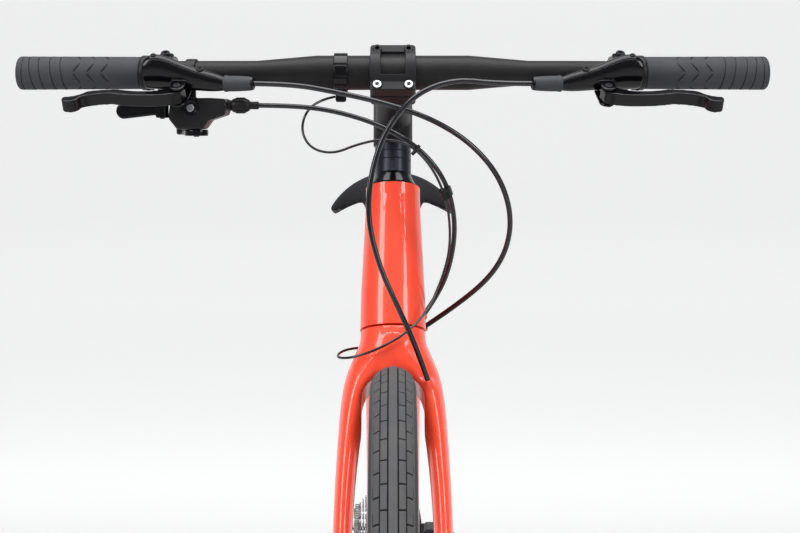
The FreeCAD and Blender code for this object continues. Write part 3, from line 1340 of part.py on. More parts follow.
# Stays: share of the length, distance from the middle plane, half width, half height
END_PLANE = D.rear_spacing / 2 + D.frame_end_thickness / 2
CHAINSTAY_STATIONS = [
    (0.03, 24, 9, 17), (0.265, 38, 7.4, 14.5), (0.5, 52, 7, 12), (0.735, 66, 6.2, 10.5),
    (0.97, END_PLANE, 3, 9),
]
SEATSTAY_STATIONS = [
    (0.0, 14, 7, 10), (0.24, 42, 6.2, 9), (0.48, 54, 5.8, 8.5), (0.72, 65, 5.2, 8),
    (0.96, END_PLANE, 3, 8),
]
STAY_START = SEAT.multVec(Vector(0, 0, D.seat_tube_length - D.stay_drop))
HANGER = REAR_AXLE.add(Vector(-8, 0, -30))
EYELET = REAR_AXLE.add(Vector(-22, 0, 16))
REAR_CALIPER_LOW = REAR_AXLE.add(Vector(46, REAR_DISC - half_caliper, 2))
REAR_CALIPER_HIGH = REAR_CALIPER_LOW.add(Vector(D.caliper_length, D.caliper_width, D.caliper_depth))


def stay(start, finish, stations, side):
    run = finish.sub(start)
    heading = Vector(run).normalize()
    across = Y_AXIS.cross(heading)
    wires = []
    for share, out, half_width, half_height in stations:
        centre = start.add(Vector(run).multiply(share)).add(Vector(0, side * out, 0))
        wires.append(ellipse_wire(centre, across, heading, half_height, half_width))
    return lofted(wires)


def rear_end(side):
    """Frame end with the axle's bore and an eyelet; the right one carries the mechanism hanger."""
    inner = D.rear_spacing / 2
    low, high = sorted((side * inner, side * (inner + D.frame_end_thickness)))
    plate = capsule(REAR_AXLE, D.frame_end_radius, EYELET, 7, low, high)
    if side < 0:
        plate = plate.fuse(capsule(REAR_AXLE, D.frame_end_radius, HANGER, 9, low, high))
        plate = plate.cut(disc(HANGER, HANGER_BOLT + D.fit_gap, low - 1, high + 1))
    axle_bore = disc(REAR_AXLE, D.axle_radius + D.fit_gap, low - 1, high + 1)
    eyelet_bore = disc(EYELET, D.boss_radius, low - 1, high + 1)
    return plate, [axle_bore, eyelet_bore]


HANGER_BOLT = 4
chainstay_solids = []
seatstay_solids = []
for side in (1, -1):
    plate, bores = rear_end(side)
    bar = stay(BRACKET, REAR_AXLE, CHAINSTAY_STATIONS, side).cut(shell_block)
    solids = [bar, plate]
    if side > 0:
        for ahead in (9, D.caliper_length - 9):
            foot = REAR_CALIPER_LOW.add(Vector(ahead, D.caliper_width - 5, 0))
            solids.append(rod(foot, foot.sub(Vector(0, 0, 14)), 4.5))
    inner = D.rear_spacing / 2
    inside = disc(REAR_AXLE, D.frame_end_radius + 1, *sorted((side * (inner - 12), side * inner)))
    lower = solids[0].fuse(solids[1:]).cut(bores + [inside])
    chainstay_solids.append(largest(lower))
    upper = stay(STAY_START, REAR_AXLE, SEATSTAY_STATIONS, side)
    upper = upper.cut([seat_block, lower, inside] + bores)
    seatstay_solids.append(largest(upper))
PIECES.append(shaped("chainstays", Part.makeCompound(chainstay_solids)))
PIECES.append(shaped("seatstays", Part.makeCompound(seatstay_solids)))
PIECES.append(shaped("rear_caliper", caliper(REAR_AXLE, REAR_DISC, REAR_CALIPER_LOW, REAR_CALIPER_HIGH)))

# Seat post, collar and saddle
POST_TOP = D.seat_tube_length + D.post_exposed
RAILS = SEAT.multVec(Vector(0, 0, POST_TOP))
at_rails = Placement(RAILS, Rotation())
collar_ring = turned("collar_ring", "XZ_Plane", ring_outline(
    "post_radius + running_clearance + 0.2", "seat_tube_radius + collar_wall",
    "seat_tube_length", "seat_tube_length + collar_height"), SEAT)
collar_lug = primitive("Part::Box", "collar_lug", SEAT.multiply(Placement(Vector(
    -D.seat_tube_radius - 14, -8, D.seat_tube_length + 1), Rotation())),
    Length="12", Width="16", Height="collar_height - 2")
PIECES.append(fused("seat_collar", [collar_ring, collar_lug]))


def seatpost_shape():
    """Post with its head; the rails lie between the cradle and the top plate."""
    top = SEAT.multVec(Vector(0, 0, POST_TOP - 14))
    post = rod(SEAT.multVec(Vector(0, 0, POST_TOP - D.post_length)), top, D.post_radius)
    half = D.rail_spacing / 2 + 6
    rail_face = D.rail_radius + 0.1
    cradle = box(Vector(-20, -half, -15), Vector(20, half, -rail_face))
    cradle = cradle.makeFillet(3, cradle.Edges)
    plate = box(Vector(-18, -half, rail_face), Vector(18, half, rail_face + 6))
    plate = plate.makeFillet(2, plate.Edges)
    screw = rod(Vector(0, 0, -8), Vector(0, 0, D.rail_radius + 9), 3)
    head_piece = cradle.fuse([plate, screw])
    head_piece.Placement = at_rails
    return post.fuse(head_piece).removeSplitter()


def rails_shape():
    """Two bent rods from the saddle's nose to its tail."""
    rods = []
    half = D.rail_spacing / 2
    for side in (1, -1):
        points = [Vector(0.36 * D.saddle_length, side * 7, 28), Vector(60, side * half * 0.8, 6),
                  Vector(36, side * half, 0), Vector(-38, side * half, 0), Vector(-66, side * half * 1.1, 4),
                  Vector(-0.36 * D.saddle_length, side * half * 1.3, 24)]
        path, _ = rounded_path(points)
        ring = Part.Wire([Part.Circle(points[0], points[1].sub(points[0]), D.rail_radius).toShape()])
        rods.append(path.makePipeShell([ring], True, False))
    return Part.makeCompound(rods)


# Saddle sections: share of the length from the middle, share of the half width, ridge lift,
# share of the droop
SADDLE_STATIONS = [
    (0.50, 0.16, -9, 0.25), (0.46, 0.24, -4, 0.40), (0.30, 0.29, -3, 0.52), (0.08, 0.44, -5, 0.66),
    (-0.16, 0.80, -3, 0.86), (-0.33, 1.0, 0, 1.0), (-0.45, 0.93, 0, 0.92), (-0.50, 0.72, -4, 0.62),
]


def saddle_shape():
    """Crowned saddle whose wings droop towards the tail."""
    wires = []
    for along, width, lift, droop in SADDLE_STATIONS:
        ahead = along * D.saddle_length
        half = width * D.saddle_width / 2
        ridge = D.saddle_rise + lift
        edge = ridge - droop * D.saddle_droop
        thick = D.saddle_thickness
        under = half - min(6, 0.2 * half)
        left, right = Vector(ahead, half, edge), Vector(ahead, -half, edge)
        low_left, low_right = Vector(ahead, under, edge - 8), Vector(ahead, -under, edge - 8)
        wires.append(Part.Wire([
            Part.Arc(left, Vector(ahead, 0, ridge), right).toShape(),
            Part.LineSegment(right, low_right).toShape(),
            Part.Arc(low_right, Vector(ahead, 0, ridge - thick - 4), low_left).toShape(),
            Part.LineSegment(low_left, left).toShape(),
        ]))
    return lofted(wires)


saddle_block = saddle_shape()
rails_block = rails_shape()
saddle_block = saddle_block.cut(rails_block)
PIECES.append(shaped("seatpost", seatpost_shape()))
PIECES.append(shaped("saddle", largest(saddle_block), at_rails))
PIECES.append(shaped("saddle_rails", rails_block, at_rails))

# Drive
SMALL_COG_PLANE = -(D.rear_spacing / 2 - D.small_cog_inset)
CHAIN_PLANE = SMALL_COG_PLANE + COG_IN_USE * D.cog_pitch


def pitch_radius(teeth):
    return D.chain_pitch / (2 * math.sin(math.pi / teeth))


link_lean = math.radians(D.link_tilt)
LINK_DOWN = Vector(math.sin(link_lean), 0, -math.cos(link_lean))
LINK_PLANE = -D.rear_spacing / 2 + 1
LINK_TOP = HANGER.add(Vector(8, LINK_PLANE, -26))
LINK_FOOT = LINK_TOP.add(Vector(LINK_DOWN).multiply(D.link_length))
GUIDE = Vector(LINK_FOOT.x + 4, CHAIN_PLANE, LINK_FOOT.z - 13)
LINK_AXIS = Vector(math.cos(link_lean), 0, math.sin(link_lean))
MECHANISM = frame_at(LINK_TOP, LINK_AXIS, Vector(LINK_DOWN).multiply(-1))


def cage_end(lean):
    """Lower jockey wheel's axis for a lean of the cage forward from plumb."""
    return GUIDE.add(Vector(math.sin(lean), 0, -math.cos(lean)).multiply(D.cage_length))


def chain_loop(lean):
    """Wheels that the chain runs over: centre, teeth, turn (+1 towards the left seen from the right)."""
    return [
        (BRACKET, int(D.chainring_teeth), 1),
        (REAR_AXLE, COG_TEETH[COG_IN_USE], 1),
        (GUIDE, int(D.pulley_teeth), -1),
        (cage_end(lean), int(D.pulley_teeth), 1),
    ]


def chain_runs(loop):
    """Straight runs between the wheels: heading, start point and length."""
    runs = []
    for index, (centre, teeth, turn) in enumerate(loop):
        next_centre, next_teeth, next_turn = loop[(index + 1) % len(loop)]
        gap_x, gap_z = next_centre.x - centre.x, next_centre.z - centre.z
        apart = math.hypot(gap_x, gap_z)
        shift = next_turn * pitch_radius(next_teeth) - turn * pitch_radius(teeth)
        heading = math.atan2(gap_z, gap_x) - math.asin(shift / apart)
        out = turn * pitch_radius(teeth)
        start = (centre.x + out * math.sin(heading), centre.z - out * math.cos(heading))
        runs.append((heading, start, math.sqrt(apart ** 2 - shift ** 2)))
    return runs


def wrap(loop, runs, index):
    """Angle that the chain wraps round one wheel."""
    turn = loop[index][2]
    change = runs[index][0] - runs[index - 1][0]
    return (turn * change) % (2 * math.pi)


def chain_links(lean):
    """Length of the chain in links for a lean of the cage."""
    loop = chain_loop(lean)
    runs = chain_runs(loop)
    total = 0
    for index, (_, teeth, _) in enumerate(loop):
        total += wrap(loop, runs, index) * teeth / (2 * math.pi) + runs[index][2] / D.chain_pitch
    return total


USUAL_LEAN = math.radians(22)
LINKS = 2 * round(chain_links(USUAL_LEAN) / 2)
lean_low, lean_high = math.radians(-40), math.radians(80)
for _ in range(60):
    lean_try = (lean_low + lean_high) / 2
    if (chain_links(lean_try) > LINKS) == (chain_links(lean_low) > LINKS):
        lean_low = lean_try
    else:
        lean_high = lean_try
CAGE_LEAN = lean_low
TENSION = cage_end(CAGE_LEAN)
print(f"chain: {LINKS} links, cage leans {math.degrees(CAGE_LEAN):.1f} degrees")


def in_chain_plane(across, up):
    return Vector(across, CHAIN_PLANE, up)


def chain_points():
    """Roller centres round the loop, and the angle of the first roller on each wheel."""
    loop = chain_loop(CAGE_LEAN)
    runs = chain_runs(loop)
    points = []
    phases = [None] * len(loop)
    travelled = 0.0
    for index in range(len(loop)):
        heading, start, length = runs[index]
        span = length / D.chain_pitch
        while len(points) < travelled + span and len(points) < LINKS:
            along = (len(points) - travelled) * D.chain_pitch
            ahead, above = along * math.cos(heading), along * math.sin(heading)
            points.append(in_chain_plane(start[0] + ahead, start[1] + above))
        travelled += span
        following = (index + 1) % len(loop)
        centre, teeth, turn = loop[following]
        angle = wrap(loop, runs, following)
        span = angle * teeth / (2 * math.pi)
        radius = pitch_radius(teeth)
        first = heading - turn * math.pi / 2
        phases[following] = first + turn * (math.ceil(travelled) - travelled) * 2 * math.pi / teeth
        while len(points) < travelled + span and len(points) < LINKS:
            around = first + turn * (len(points) - travelled) * 2 * math.pi / teeth
            ahead, above = radius * math.cos(around), radius * math.sin(around)
            points.append(in_chain_plane(centre.x + ahead, centre.z + above))
        travelled += span
    return points, phases


ROLLERS, PHASES = chain_points()
GAP_RADIUS = D.roller_radius + 0.3
TIP_HALF = 1.0
TIP_LIFT = 2.9
ROOT_ANGLE = math.radians(70)


def sprocket(teeth, phase, middle, thickness, centre):
    """Toothed disc square to Y with a gap centred at the phase angle."""
    pitch = pitch_radius(teeth)
    half_step = math.pi / teeth
    tip = pitch + TIP_LIFT
    tip_turn = TIP_HALF / tip

    low = middle - thickness / 2

    def polar(radius, angle):
        return Vector(centre.x + radius * math.cos(angle), low, centre.z + radius * math.sin(angle))

    def in_gap(angle, swing):
        outward = Vector(math.cos(angle + swing), 0, math.sin(angle + swing))
        return shifted(polar(pitch, angle), outward, -GAP_RADIUS)

    edges = []
    for index in range(teeth):
        angle = phase + 2 * half_step * index
        entry, root, leave = in_gap(angle, ROOT_ANGLE), in_gap(angle, 0), in_gap(angle, -ROOT_ANGLE)
        tip_start = polar(tip, angle + half_step - tip_turn)
        tip_end = polar(tip, angle + half_step + tip_turn)
        edges.append(Part.Arc(entry, root, leave).toShape())
        edges.append(Part.LineSegment(leave, tip_start).toShape())
        edges.append(Part.LineSegment(tip_start, tip_end).toShape())
        edges.append(Part.LineSegment(tip_end, in_gap(angle + 2 * half_step, ROOT_ANGLE)).toShape())
    return Part.Face(Part.Wire(edges)).extrude(Vector(0, thickness, 0))


BOLT_CIRCLE = 52
RING_BOLTS = 4
SPIDER_TURN = math.radians(45)
ring_bolt_points = []
for index in range(RING_BOLTS):
    angle = SPIDER_TURN + 2 * math.pi * index / RING_BOLTS
    ring_bolt_points.append(BRACKET.add(Vector(math.cos(angle), 0, math.sin(angle)).multiply(BOLT_CIRCLE)))


def chainring_shape():
    """Chainring with four lugs, and its bolts."""
    half = D.chainring_thickness / 2
    low, high = CHAIN_PLANE - half, CHAIN_PLANE + half
    ring = sprocket(int(D.chainring_teeth), PHASES[0], CHAIN_PLANE, D.chainring_thickness, BRACKET)
    rim_inner = pitch_radius(D.chainring_teeth) - 13
    opening = disc(BRACKET, rim_inner, low - 1, high + 1)
    bolts = []
    for point in ring_bolt_points:
        outward = point.sub(BRACKET).normalize()
        rim_point = BRACKET.add(outward.multiply(rim_inner + 4))
        opening = opening.cut(capsule(point, 9, rim_point, 12, low - 1, high + 1))
        ring = ring.cut(disc(point, 4.05, low - 1, high + 1))
        shaft = disc(point, 4, CHAIN_PLANE - 11, high + 0.1)
        bolts.append(shaft.fuse(disc(point, 6, high, high + 1.5)).removeSplitter())
    return Part.makeCompound([ring.cut(opening)] + bolts)


ARM_INNER = D.crank_inset
ARM_OUTER = D.crank_inset + D.crank_thickness
SPIDER_FACE = CHAIN_PLANE - D.chainring_thickness / 2
PEDAL_RIGHT = BRACKET.add(Vector(D.crank_length, 0, 0))
PEDAL_LEFT = BRACKET.sub(Vector(D.crank_length, 0, 0))
PEDAL_INNER = ARM_OUTER + 4
PEDAL_OUTER = PEDAL_INNER + D.pedal_width


def pedal_axle(centre, side):
    low, high = sorted((side * (ARM_INNER + 1), side * (PEDAL_OUTER - 6)))
    shoulder = sorted((side * ARM_OUTER, side * (PEDAL_INNER - 1)))
    return disc(centre, D.pedal_axle_radius, low, high).fuse(disc(centre, 8, *shoulder)).removeSplitter()


def crank_right_shape():
    """Right arm with spider and spindle; the pedal axle is screwed into it."""
    arm = capsule(BRACKET, 19, PEDAL_RIGHT, 13, -ARM_OUTER, -ARM_INNER)
    arm = arm.makeFillet(3, arm.Edges)
    parts = [disc(BRACKET, 17, -ARM_INNER - 4, SPIDER_FACE)]
    for point in ring_bolt_points:
        parts.append(capsule(BRACKET, 15, point, 8, SPIDER_FACE - 8, SPIDER_FACE))
    parts.append(disc(BRACKET, D.spindle_radius, SPIDER_FACE - 2, ARM_OUTER - 1))
    shape = arm.fuse(parts)
    cuts = [disc(PEDAL_RIGHT, D.pedal_axle_radius + D.fit_gap, -ARM_OUTER - 1, -ARM_INNER + 1)]
    for point in ring_bolt_points:
        cuts.append(disc(point, 4 + D.fit_gap, SPIDER_FACE - 30, SPIDER_FACE + 1))
    ring_room = disc(BRACKET, 17.5, SPIDER_FACE, CHAIN_PLANE + 2)
    ring_room = ring_room.cut(disc(BRACKET, D.spindle_radius, SPIDER_FACE, CHAIN_PLANE + 2))
    return Part.makeCompound([shape.cut(cuts + [ring_room]).removeSplitter(), pedal_axle(PEDAL_RIGHT, -1)])


def crank_left_shape():
    arm = capsule(BRACKET, 18, PEDAL_LEFT, 13, ARM_INNER, ARM_OUTER)
    arm = arm.makeFillet(3, arm.Edges)
    cuts = [disc(BRACKET, D.spindle_radius + D.fit_gap, 0, ARM_OUTER + 1),
            disc(PEDAL_LEFT, D.pedal_axle_radius + D.fit_gap, ARM_INNER - 1, ARM_OUTER + 1)]
    return Part.makeCompound([arm.cut(cuts), pedal_axle(PEDAL_LEFT, 1)])


def pedal(label, centre, side):
    """Platform pedal with two windows round the axle barrel."""
    low = PEDAL_INNER if side > 0 else -PEDAL_OUTER
    corner = centre.add(Vector(-D.pedal_length / 2, low, -D.pedal_height / 2))
    plate = primitive("Part::Box", f"{label}_plate", Placement(corner, Rotation()),
                      Length="pedal_length", Width="pedal_width", Height="pedal_height")
    soft = doc.addObject("Part::Fillet", f"{label}_soft")
    soft.Base = plate
    soft.Edges = [(edge, 5, 5) for edge in range(1, 13)]
    tools = []
    for ahead in (-1, 1):
        back = centre.x + ahead * D.pedal_length / 4 - 0.15 * D.pedal_length
        start = Vector(back, low + 14, centre.z - 30)
        tools.append(primitive("Part::Box", f"{label}_window", Placement(start, Rotation()),
                               Length="0.3*pedal_length", Width="pedal_width - 28", Height="60"))
    bore_start = Vector(centre.x, low - 1 if side > 0 else low + 5, centre.z)
    tools.append(primitive("Part::Cylinder", f"{label}_bore", along_y(bore_start),
                           Radius="pedal_axle_radius + running_clearance", Height="pedal_width - 4"))
    return boolean("Part::Cut", label, soft, fused(f"{label}_cuts", tools))


PIECES.append(shaped("chainring", chainring_shape()))
PIECES.append(shaped("crank_right", crank_right_shape()))
PIECES.append(shaped("crank_left", crank_left_shape()))
PIECES.append(pedal("pedal_right", PEDAL_RIGHT, -1))
PIECES.append(pedal("pedal_left", PEDAL_LEFT, 1))
CARRIER_RADIUS = 17


def cassette_shape():
    """Cogs on their carrier, with a lock ring."""
    bore = D.axle_radius + D.running_clearance
    inner = -D.rear_right_flange - 7
    outer = SMALL_COG_PLANE - 3
    carrier = disc(REAR_AXLE, CARRIER_RADIUS, outer, inner).cut(disc(REAR_AXLE, bore, outer - 1, inner + 1))
    solids = [carrier]
    core = disc(REAR_AXLE, CARRIER_RADIUS, outer - 1, inner + 1)
    for index, teeth in enumerate(COG_TEETH):
        plane = SMALL_COG_PLANE + index * D.cog_pitch
        phase = PHASES[1] if index == COG_IN_USE else 0.0
        solids.append(sprocket(teeth, phase, plane, D.cog_thickness, REAR_AXLE).cut(core))
    return Part.makeCompound(solids)


PIECES.append(shaped("cassette", cassette_shape()))


def link_shape(start, finish, outer):
    """One link of the chain in place: an outer link carries the rivets, an inner one the rollers."""
    half = D.chain_plate_height / 2
    inner_face = D.chain_inner_width / 2 + (D.chain_plate + D.chain_play if outer else 0)
    plates = []
    for side in (-1, 1):
        near = CHAIN_PLANE + side * inner_face
        low, high = sorted((near, near + side * D.chain_plate))
        plates.append(capsule(start, half, finish, half - 0.001, low, high))
    across = inner_face + D.chain_plate / 2
    ends = (start, finish)
    if outer:
        rivets = [disc(end, D.chain_pin_radius, CHAIN_PLANE - across, CHAIN_PLANE + across) for end in ends]
        return plates[0].fuse([plates[1]] + rivets)
    rollers = [disc(end, D.roller_radius, CHAIN_PLANE - across, CHAIN_PLANE + across) for end in ends]
    holes = [disc(end, D.chain_pin_radius + D.chain_play, CHAIN_PLANE - 5, CHAIN_PLANE + 5) for end in ends]
    return plates[0].fuse([plates[1]] + rollers).cut(holes)


def chain_shape():
    links = []
    patterns = {}
    for index, start in enumerate(ROLLERS):
        finish = ROLLERS[(index + 1) % len(ROLLERS)]
        run = finish.sub(start)
        outer = index % 2 == 0
        if outer not in patterns:
            base = Vector(0, CHAIN_PLANE, 0)
            patterns[outer] = link_shape(base, base.add(Vector(D.chain_pitch, 0, 0)), outer)
        link = patterns[outer].copy()
        turn = Rotation(Vector(0, 1, 0), -math.degrees(math.atan2(run.z, run.x)))
        link.Placement = Placement(Vector(start.x, 0, start.z), turn)
        links.append(link)
    return Part.makeCompound(links)


PIECES.append(shaped("chain", chain_shape()))

# Rear mechanism, drawn in the frame of its links
LINK_HALF = D.link_spread / 2
LINK_WIDE = 9
LINK_THICK = 5
LINK_PIN = 2
EAR_PLATE = 3
EAR_START = LINK_WIDE + D.seam
EAR_END = EAR_START + EAR_PLATE
EAR_HALF = LINK_HALF + 5


def link_bar(across):
    """One link of the parallelogram."""
    half = LINK_THICK / 2
    bar = box(Vector(-LINK_WIDE, across - half, -D.link_length), Vector(LINK_WIDE, across + half, 0))
    ends = []
    holes = []
    for level in (0, -D.link_length):
        ends.append(Part.makeCylinder(3.5, 2 * LINK_WIDE, Vector(-LINK_WIDE, across, level), X_AXIS))
        hole_start = Vector(-20, across, level)
        holes.append(Part.makeCylinder(LINK_PIN + D.running_clearance, 40, hole_start, X_AXIS))
    return bar.fuse(ends).cut(holes).removeSplitter()


def ears_and_pins(level, roof_low, roof_high, ear_low, ear_high):
    """Fork of a knuckle with the pins of both links."""
    parts = [box(Vector(-EAR_END, -EAR_HALF, roof_low), Vector(EAR_END, EAR_HALF, roof_high))]
    for low in (-EAR_END, EAR_START):
        parts.append(box(Vector(low, -EAR_HALF, ear_low), Vector(low + EAR_PLATE, EAR_HALF, ear_high)))
    for across in (-LINK_HALF, LINK_HALF):
        parts.append(Part.makeCylinder(LINK_PIN, 2 * EAR_END, Vector(-EAR_END, across, level), X_AXIS))
    return parts


def knuckle_shape():
    """Upper knuckle with the bolt that holds it to the hanger."""
    parts = ears_and_pins(0, 5, 12, -5, 12)
    outer = -D.rear_spacing / 2 - D.frame_end_thickness
    boss_low = outer - 16
    inverse = MECHANISM.inverse()
    boss = disc(HANGER, 11, boss_low, outer)
    stud = disc(HANGER, HANGER_BOLT, outer, -D.rear_spacing / 2 + 0.5)
    arm = capsule(HANGER, 11, LINK_TOP.sub(Vector(LINK_DOWN).multiply(9)), 8, boss_low, boss_low + 12)
    for item in (boss, stud, arm):
        item.Placement = inverse.multiply(item.Placement)
        parts.append(item)
    side = boss_low - LINK_TOP.y
    parts.append(box(Vector(-8, side, 5), Vector(8, 0, 12)))
    return parts[0].fuse(parts[1:]).removeSplitter()


BOSS_END = CHAIN_PLANE - 6.4 - D.seam
CAGE_STUD = 4


def cage_knuckle_shape():
    """Lower knuckle that the cage turns in."""
    foot = -D.link_length
    parts = ears_and_pins(foot, foot - 12, foot - 5, foot - 12, foot + 5)
    boss = disc(GUIDE, 9, LINK_TOP.y - EAR_HALF, BOSS_END)
    bore = disc(GUIDE, CAGE_STUD + D.running_clearance, LINK_TOP.y - 4, BOSS_END + 1)
    inverse = MECHANISM.inverse()
    boss.Placement = inverse.multiply(boss.Placement)
    bore.Placement = inverse.multiply(bore.Placement)
    return parts[0].fuse(parts[1:] + [boss]).cut(bore).removeSplitter()


PULLEY_PIN = 2.5
PLATE_INNER = 4.6
PLATE_OUTER = 6.4


def cage_shape():
    """Two cage plates with the jockey wheels' pins and the cage's stud."""
    parts = []
    for side in (-1, 1):
        low, high = sorted((CHAIN_PLANE + side * PLATE_INNER, CHAIN_PLANE + side * PLATE_OUTER))
        plate = capsule(GUIDE, 14, TENSION, 11, low, high)
        waist = GUIDE.add(TENSION).multiply(0.5)
        waist_end = shifted(waist, TENSION.sub(GUIDE), 0.12)
        parts.append(plate.cut(capsule(waist, 6, waist_end, 5, low - 1, high + 1)))
    for centre in (GUIDE, TENSION):
        parts.append(disc(centre, PULLEY_PIN, CHAIN_PLANE - PLATE_OUTER, CHAIN_PLANE + PLATE_OUTER))
    parts.append(disc(GUIDE, CAGE_STUD, LINK_TOP.y - 3, CHAIN_PLANE - PLATE_INNER))
    return parts[0].fuse(parts[1:]).removeSplitter()


def pulley_shape(centre, phase):
    wheel = sprocket(int(D.pulley_teeth), phase, CHAIN_PLANE, D.cog_thickness, centre)
    collar = disc(centre, 7, CHAIN_PLANE - 3.6, CHAIN_PLANE + 3.6)
    bore = disc(centre, PULLEY_PIN + D.running_clearance, CHAIN_PLANE - 8, CHAIN_PLANE + 8)
    return wheel.fuse(collar).cut(bore).removeSplitter()


PIECES.append(shaped("derailleur_knuckle", knuckle_shape(), MECHANISM))
PIECES.append(shaped("derailleur_outer_link", link_bar(-LINK_HALF), MECHANISM))
PIECES.append(shaped("derailleur_inner_link", link_bar(LINK_HALF), MECHANISM))
PIECES.append(shaped("derailleur_cage_knuckle", cage_knuckle_shape(), MECHANISM))
PIECES.append(shaped("derailleur_cage", cage_shape()))
PIECES.append(shaped("guide_pulley", pulley_shape(GUIDE, PHASES[2])))
PIECES.append(shaped("tension_pulley", pulley_shape(TENSION, PHASES[3])))

# Hoses, cable housing and wire
PIECES.append(shaped("front_brake_hose", cord("front_brake_hose", vectors(FRONT_HOSE), D.hose_diameter)))
PIECES.append(shaped("rear_brake_hose", cord("rear_brake_hose", vectors(REAR_HOSE), D.hose_diameter)))
PIECES.append(shaped("shift_housing", cord("shift_housing", vectors(HOUSING), D.housing_diameter)))
PIECES.append(shaped("sensor_wire", cord("sensor_wire", vectors(WIRE), D.wire_diameter)))

doc.recompute()
os.makedirs("parts", exist_ok=True)
for item in doc.Objects:
    if "Invalid" in item.State or "Error" in item.State:
        raise RuntimeError(f"{item.Label} did not rebuild: {item.State}")
for item in PIECES:
    if item.Shape.isNull() or not item.Shape.isValid() or not item.Shape.Solids:
        raise RuntimeError(f"{item.Label} is not a valid solid")
    item.Shape.exportStep(f"parts/{item.Label}.step")
print(f"{len(PIECES)} sub-parts")
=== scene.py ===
"""Flat-bar hybrid bicycle: finishes, soft parts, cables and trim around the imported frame.

Laid out as an add-on: each operator makes one group of pieces, and main() calls them in order.
Lengths are metres in the part's own frame: +X forward, +Y the rider's left, +Z up.
"""

import math
from dataclasses import dataclass

import bpy
from mathutils import Matrix, Vector


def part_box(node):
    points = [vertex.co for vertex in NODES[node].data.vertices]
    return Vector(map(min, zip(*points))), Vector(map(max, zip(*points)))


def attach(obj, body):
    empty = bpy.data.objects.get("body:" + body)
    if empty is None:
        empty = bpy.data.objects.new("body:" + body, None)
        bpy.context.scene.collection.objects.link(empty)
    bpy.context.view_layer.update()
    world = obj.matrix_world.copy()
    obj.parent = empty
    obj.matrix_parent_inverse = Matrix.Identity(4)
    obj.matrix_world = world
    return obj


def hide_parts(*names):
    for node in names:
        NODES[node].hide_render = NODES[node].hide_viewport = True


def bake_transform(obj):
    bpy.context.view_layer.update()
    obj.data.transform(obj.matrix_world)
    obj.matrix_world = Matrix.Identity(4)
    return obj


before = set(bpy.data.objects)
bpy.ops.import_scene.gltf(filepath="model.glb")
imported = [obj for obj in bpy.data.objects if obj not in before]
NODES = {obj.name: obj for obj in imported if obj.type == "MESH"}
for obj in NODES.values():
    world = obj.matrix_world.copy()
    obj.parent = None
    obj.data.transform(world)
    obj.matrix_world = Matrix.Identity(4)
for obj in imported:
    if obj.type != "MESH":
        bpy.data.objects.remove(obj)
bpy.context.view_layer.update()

bl_info = {
    "name": "Hybrid bicycle finish",
    "version": (1, 0, 0),
    "blender": (4, 5, 0),
    "location": "View3D > Sidebar > Bicycle",
    "description": "Finishes and trim of a flat-bar hybrid bicycle",
    "category": "Object",
}

MM = 0.001


def colour_property(name, description, default):
    return bpy.props.FloatVectorProperty(
        name=name, description=description, subtype="COLOR", size=3, min=0, max=1, default=default)


class BikeColours(bpy.types.PropertyGroup):
    """Colours of the bicycle's finishes."""

    paint: colour_property("Paint", "Frame and fork paint", (0.97, 0.068, 0.026))
    black: colour_property("Black", "Satin black alloy", (0.016, 0.016, 0.018))
    rubber: colour_property("Rubber", "Grips", (0.045, 0.047, 0.053))
    tyre: colour_property("Tyre", "Tyre rubber", (0.074, 0.074, 0.077))
    band: colour_property("Band", "Reflective band of the tyre", (0.34, 0.35, 0.36))


class BikeSizes(bpy.types.PropertyGroup):
    """Sizes of the trim."""

    tread_pitches: bpy.props.IntProperty(
        name="Tread pitches", description="Repeats of the tread round a tyre", default=80, min=20, max=160)
    tread_depth: bpy.props.FloatProperty(
        name="Tread depth", description="Depth of the tread's grooves", default=0.0014, unit="LENGTH")
    groove_depth: bpy.props.FloatProperty(
        name="Grip groove", description="Depth of the grips' grooves", default=0.0009, unit="LENGTH")


class StageSettings(bpy.types.PropertyGroup):
    """Camera, light and floor."""

    focal_length: bpy.props.FloatProperty(
        name="Focal length", description="Lens in millimetres on a 36 mm sensor", default=106.9)
    camera_place: bpy.props.FloatVectorProperty(
        name="Camera", description="Place of the camera", subtype="TRANSLATION", size=3,
        default=(2.565, 0.0, 0.9386))
    camera_pitch: bpy.props.FloatProperty(
        name="Pitch", description="Camera turned below level", default=math.radians(4.22), subtype="ANGLE")
    camera_yaw: bpy.props.FloatProperty(
        name="Yaw", description="Camera turned to the rider's left", default=math.radians(0.17),
        subtype="ANGLE")
    floor: colour_property("Floor", "Colour of the floor", (0.62, 0.62, 0.62))
    floor_glow: bpy.props.FloatProperty(
        name="Floor glow", description="Light that the floor gives off by itself", default=0.57)


# Frames of the parts
MIRROR = Matrix.Scale(-1, 4, (0, 1, 0))
STEER_UP = Vector((-0.325568, 0, 0.945519))
STEER_AHEAD = Vector((0.945519, 0, 0.325568))
CROWN = Vector((0.354924, 0, 0.714094))
BAR_MIDDLE = Vector((0.364151, 0, 0.955525))
STEM_AHEAD = Vector((0.838671, 0, 0.544639))
STEM_ABOVE = Vector((-0.544639, 0, 0.838671))
OUTWARD = Vector((-0.156434, 0.987688, 0))
FORWARD = Vector((0.987688, 0.156434, 0))
REACH = Vector((0.872079, 0.138124, -0.469472))
LEVER_UP = Vector((0.463692, 0.073442, 0.882948))
BAR_TIP = Vector((0.33038, 0.35, 0.955525))
GRIP_LENGTH = 0.13
PERCH_FROM_TIP = 0.144
PERCH = BAR_TIP - OUTWARD * PERCH_FROM_TIP
FRONT_AXLE = Vector((0.53, 0, 0.35))
REAR_AXLE = Vector((-0.53, 0, 0.35))


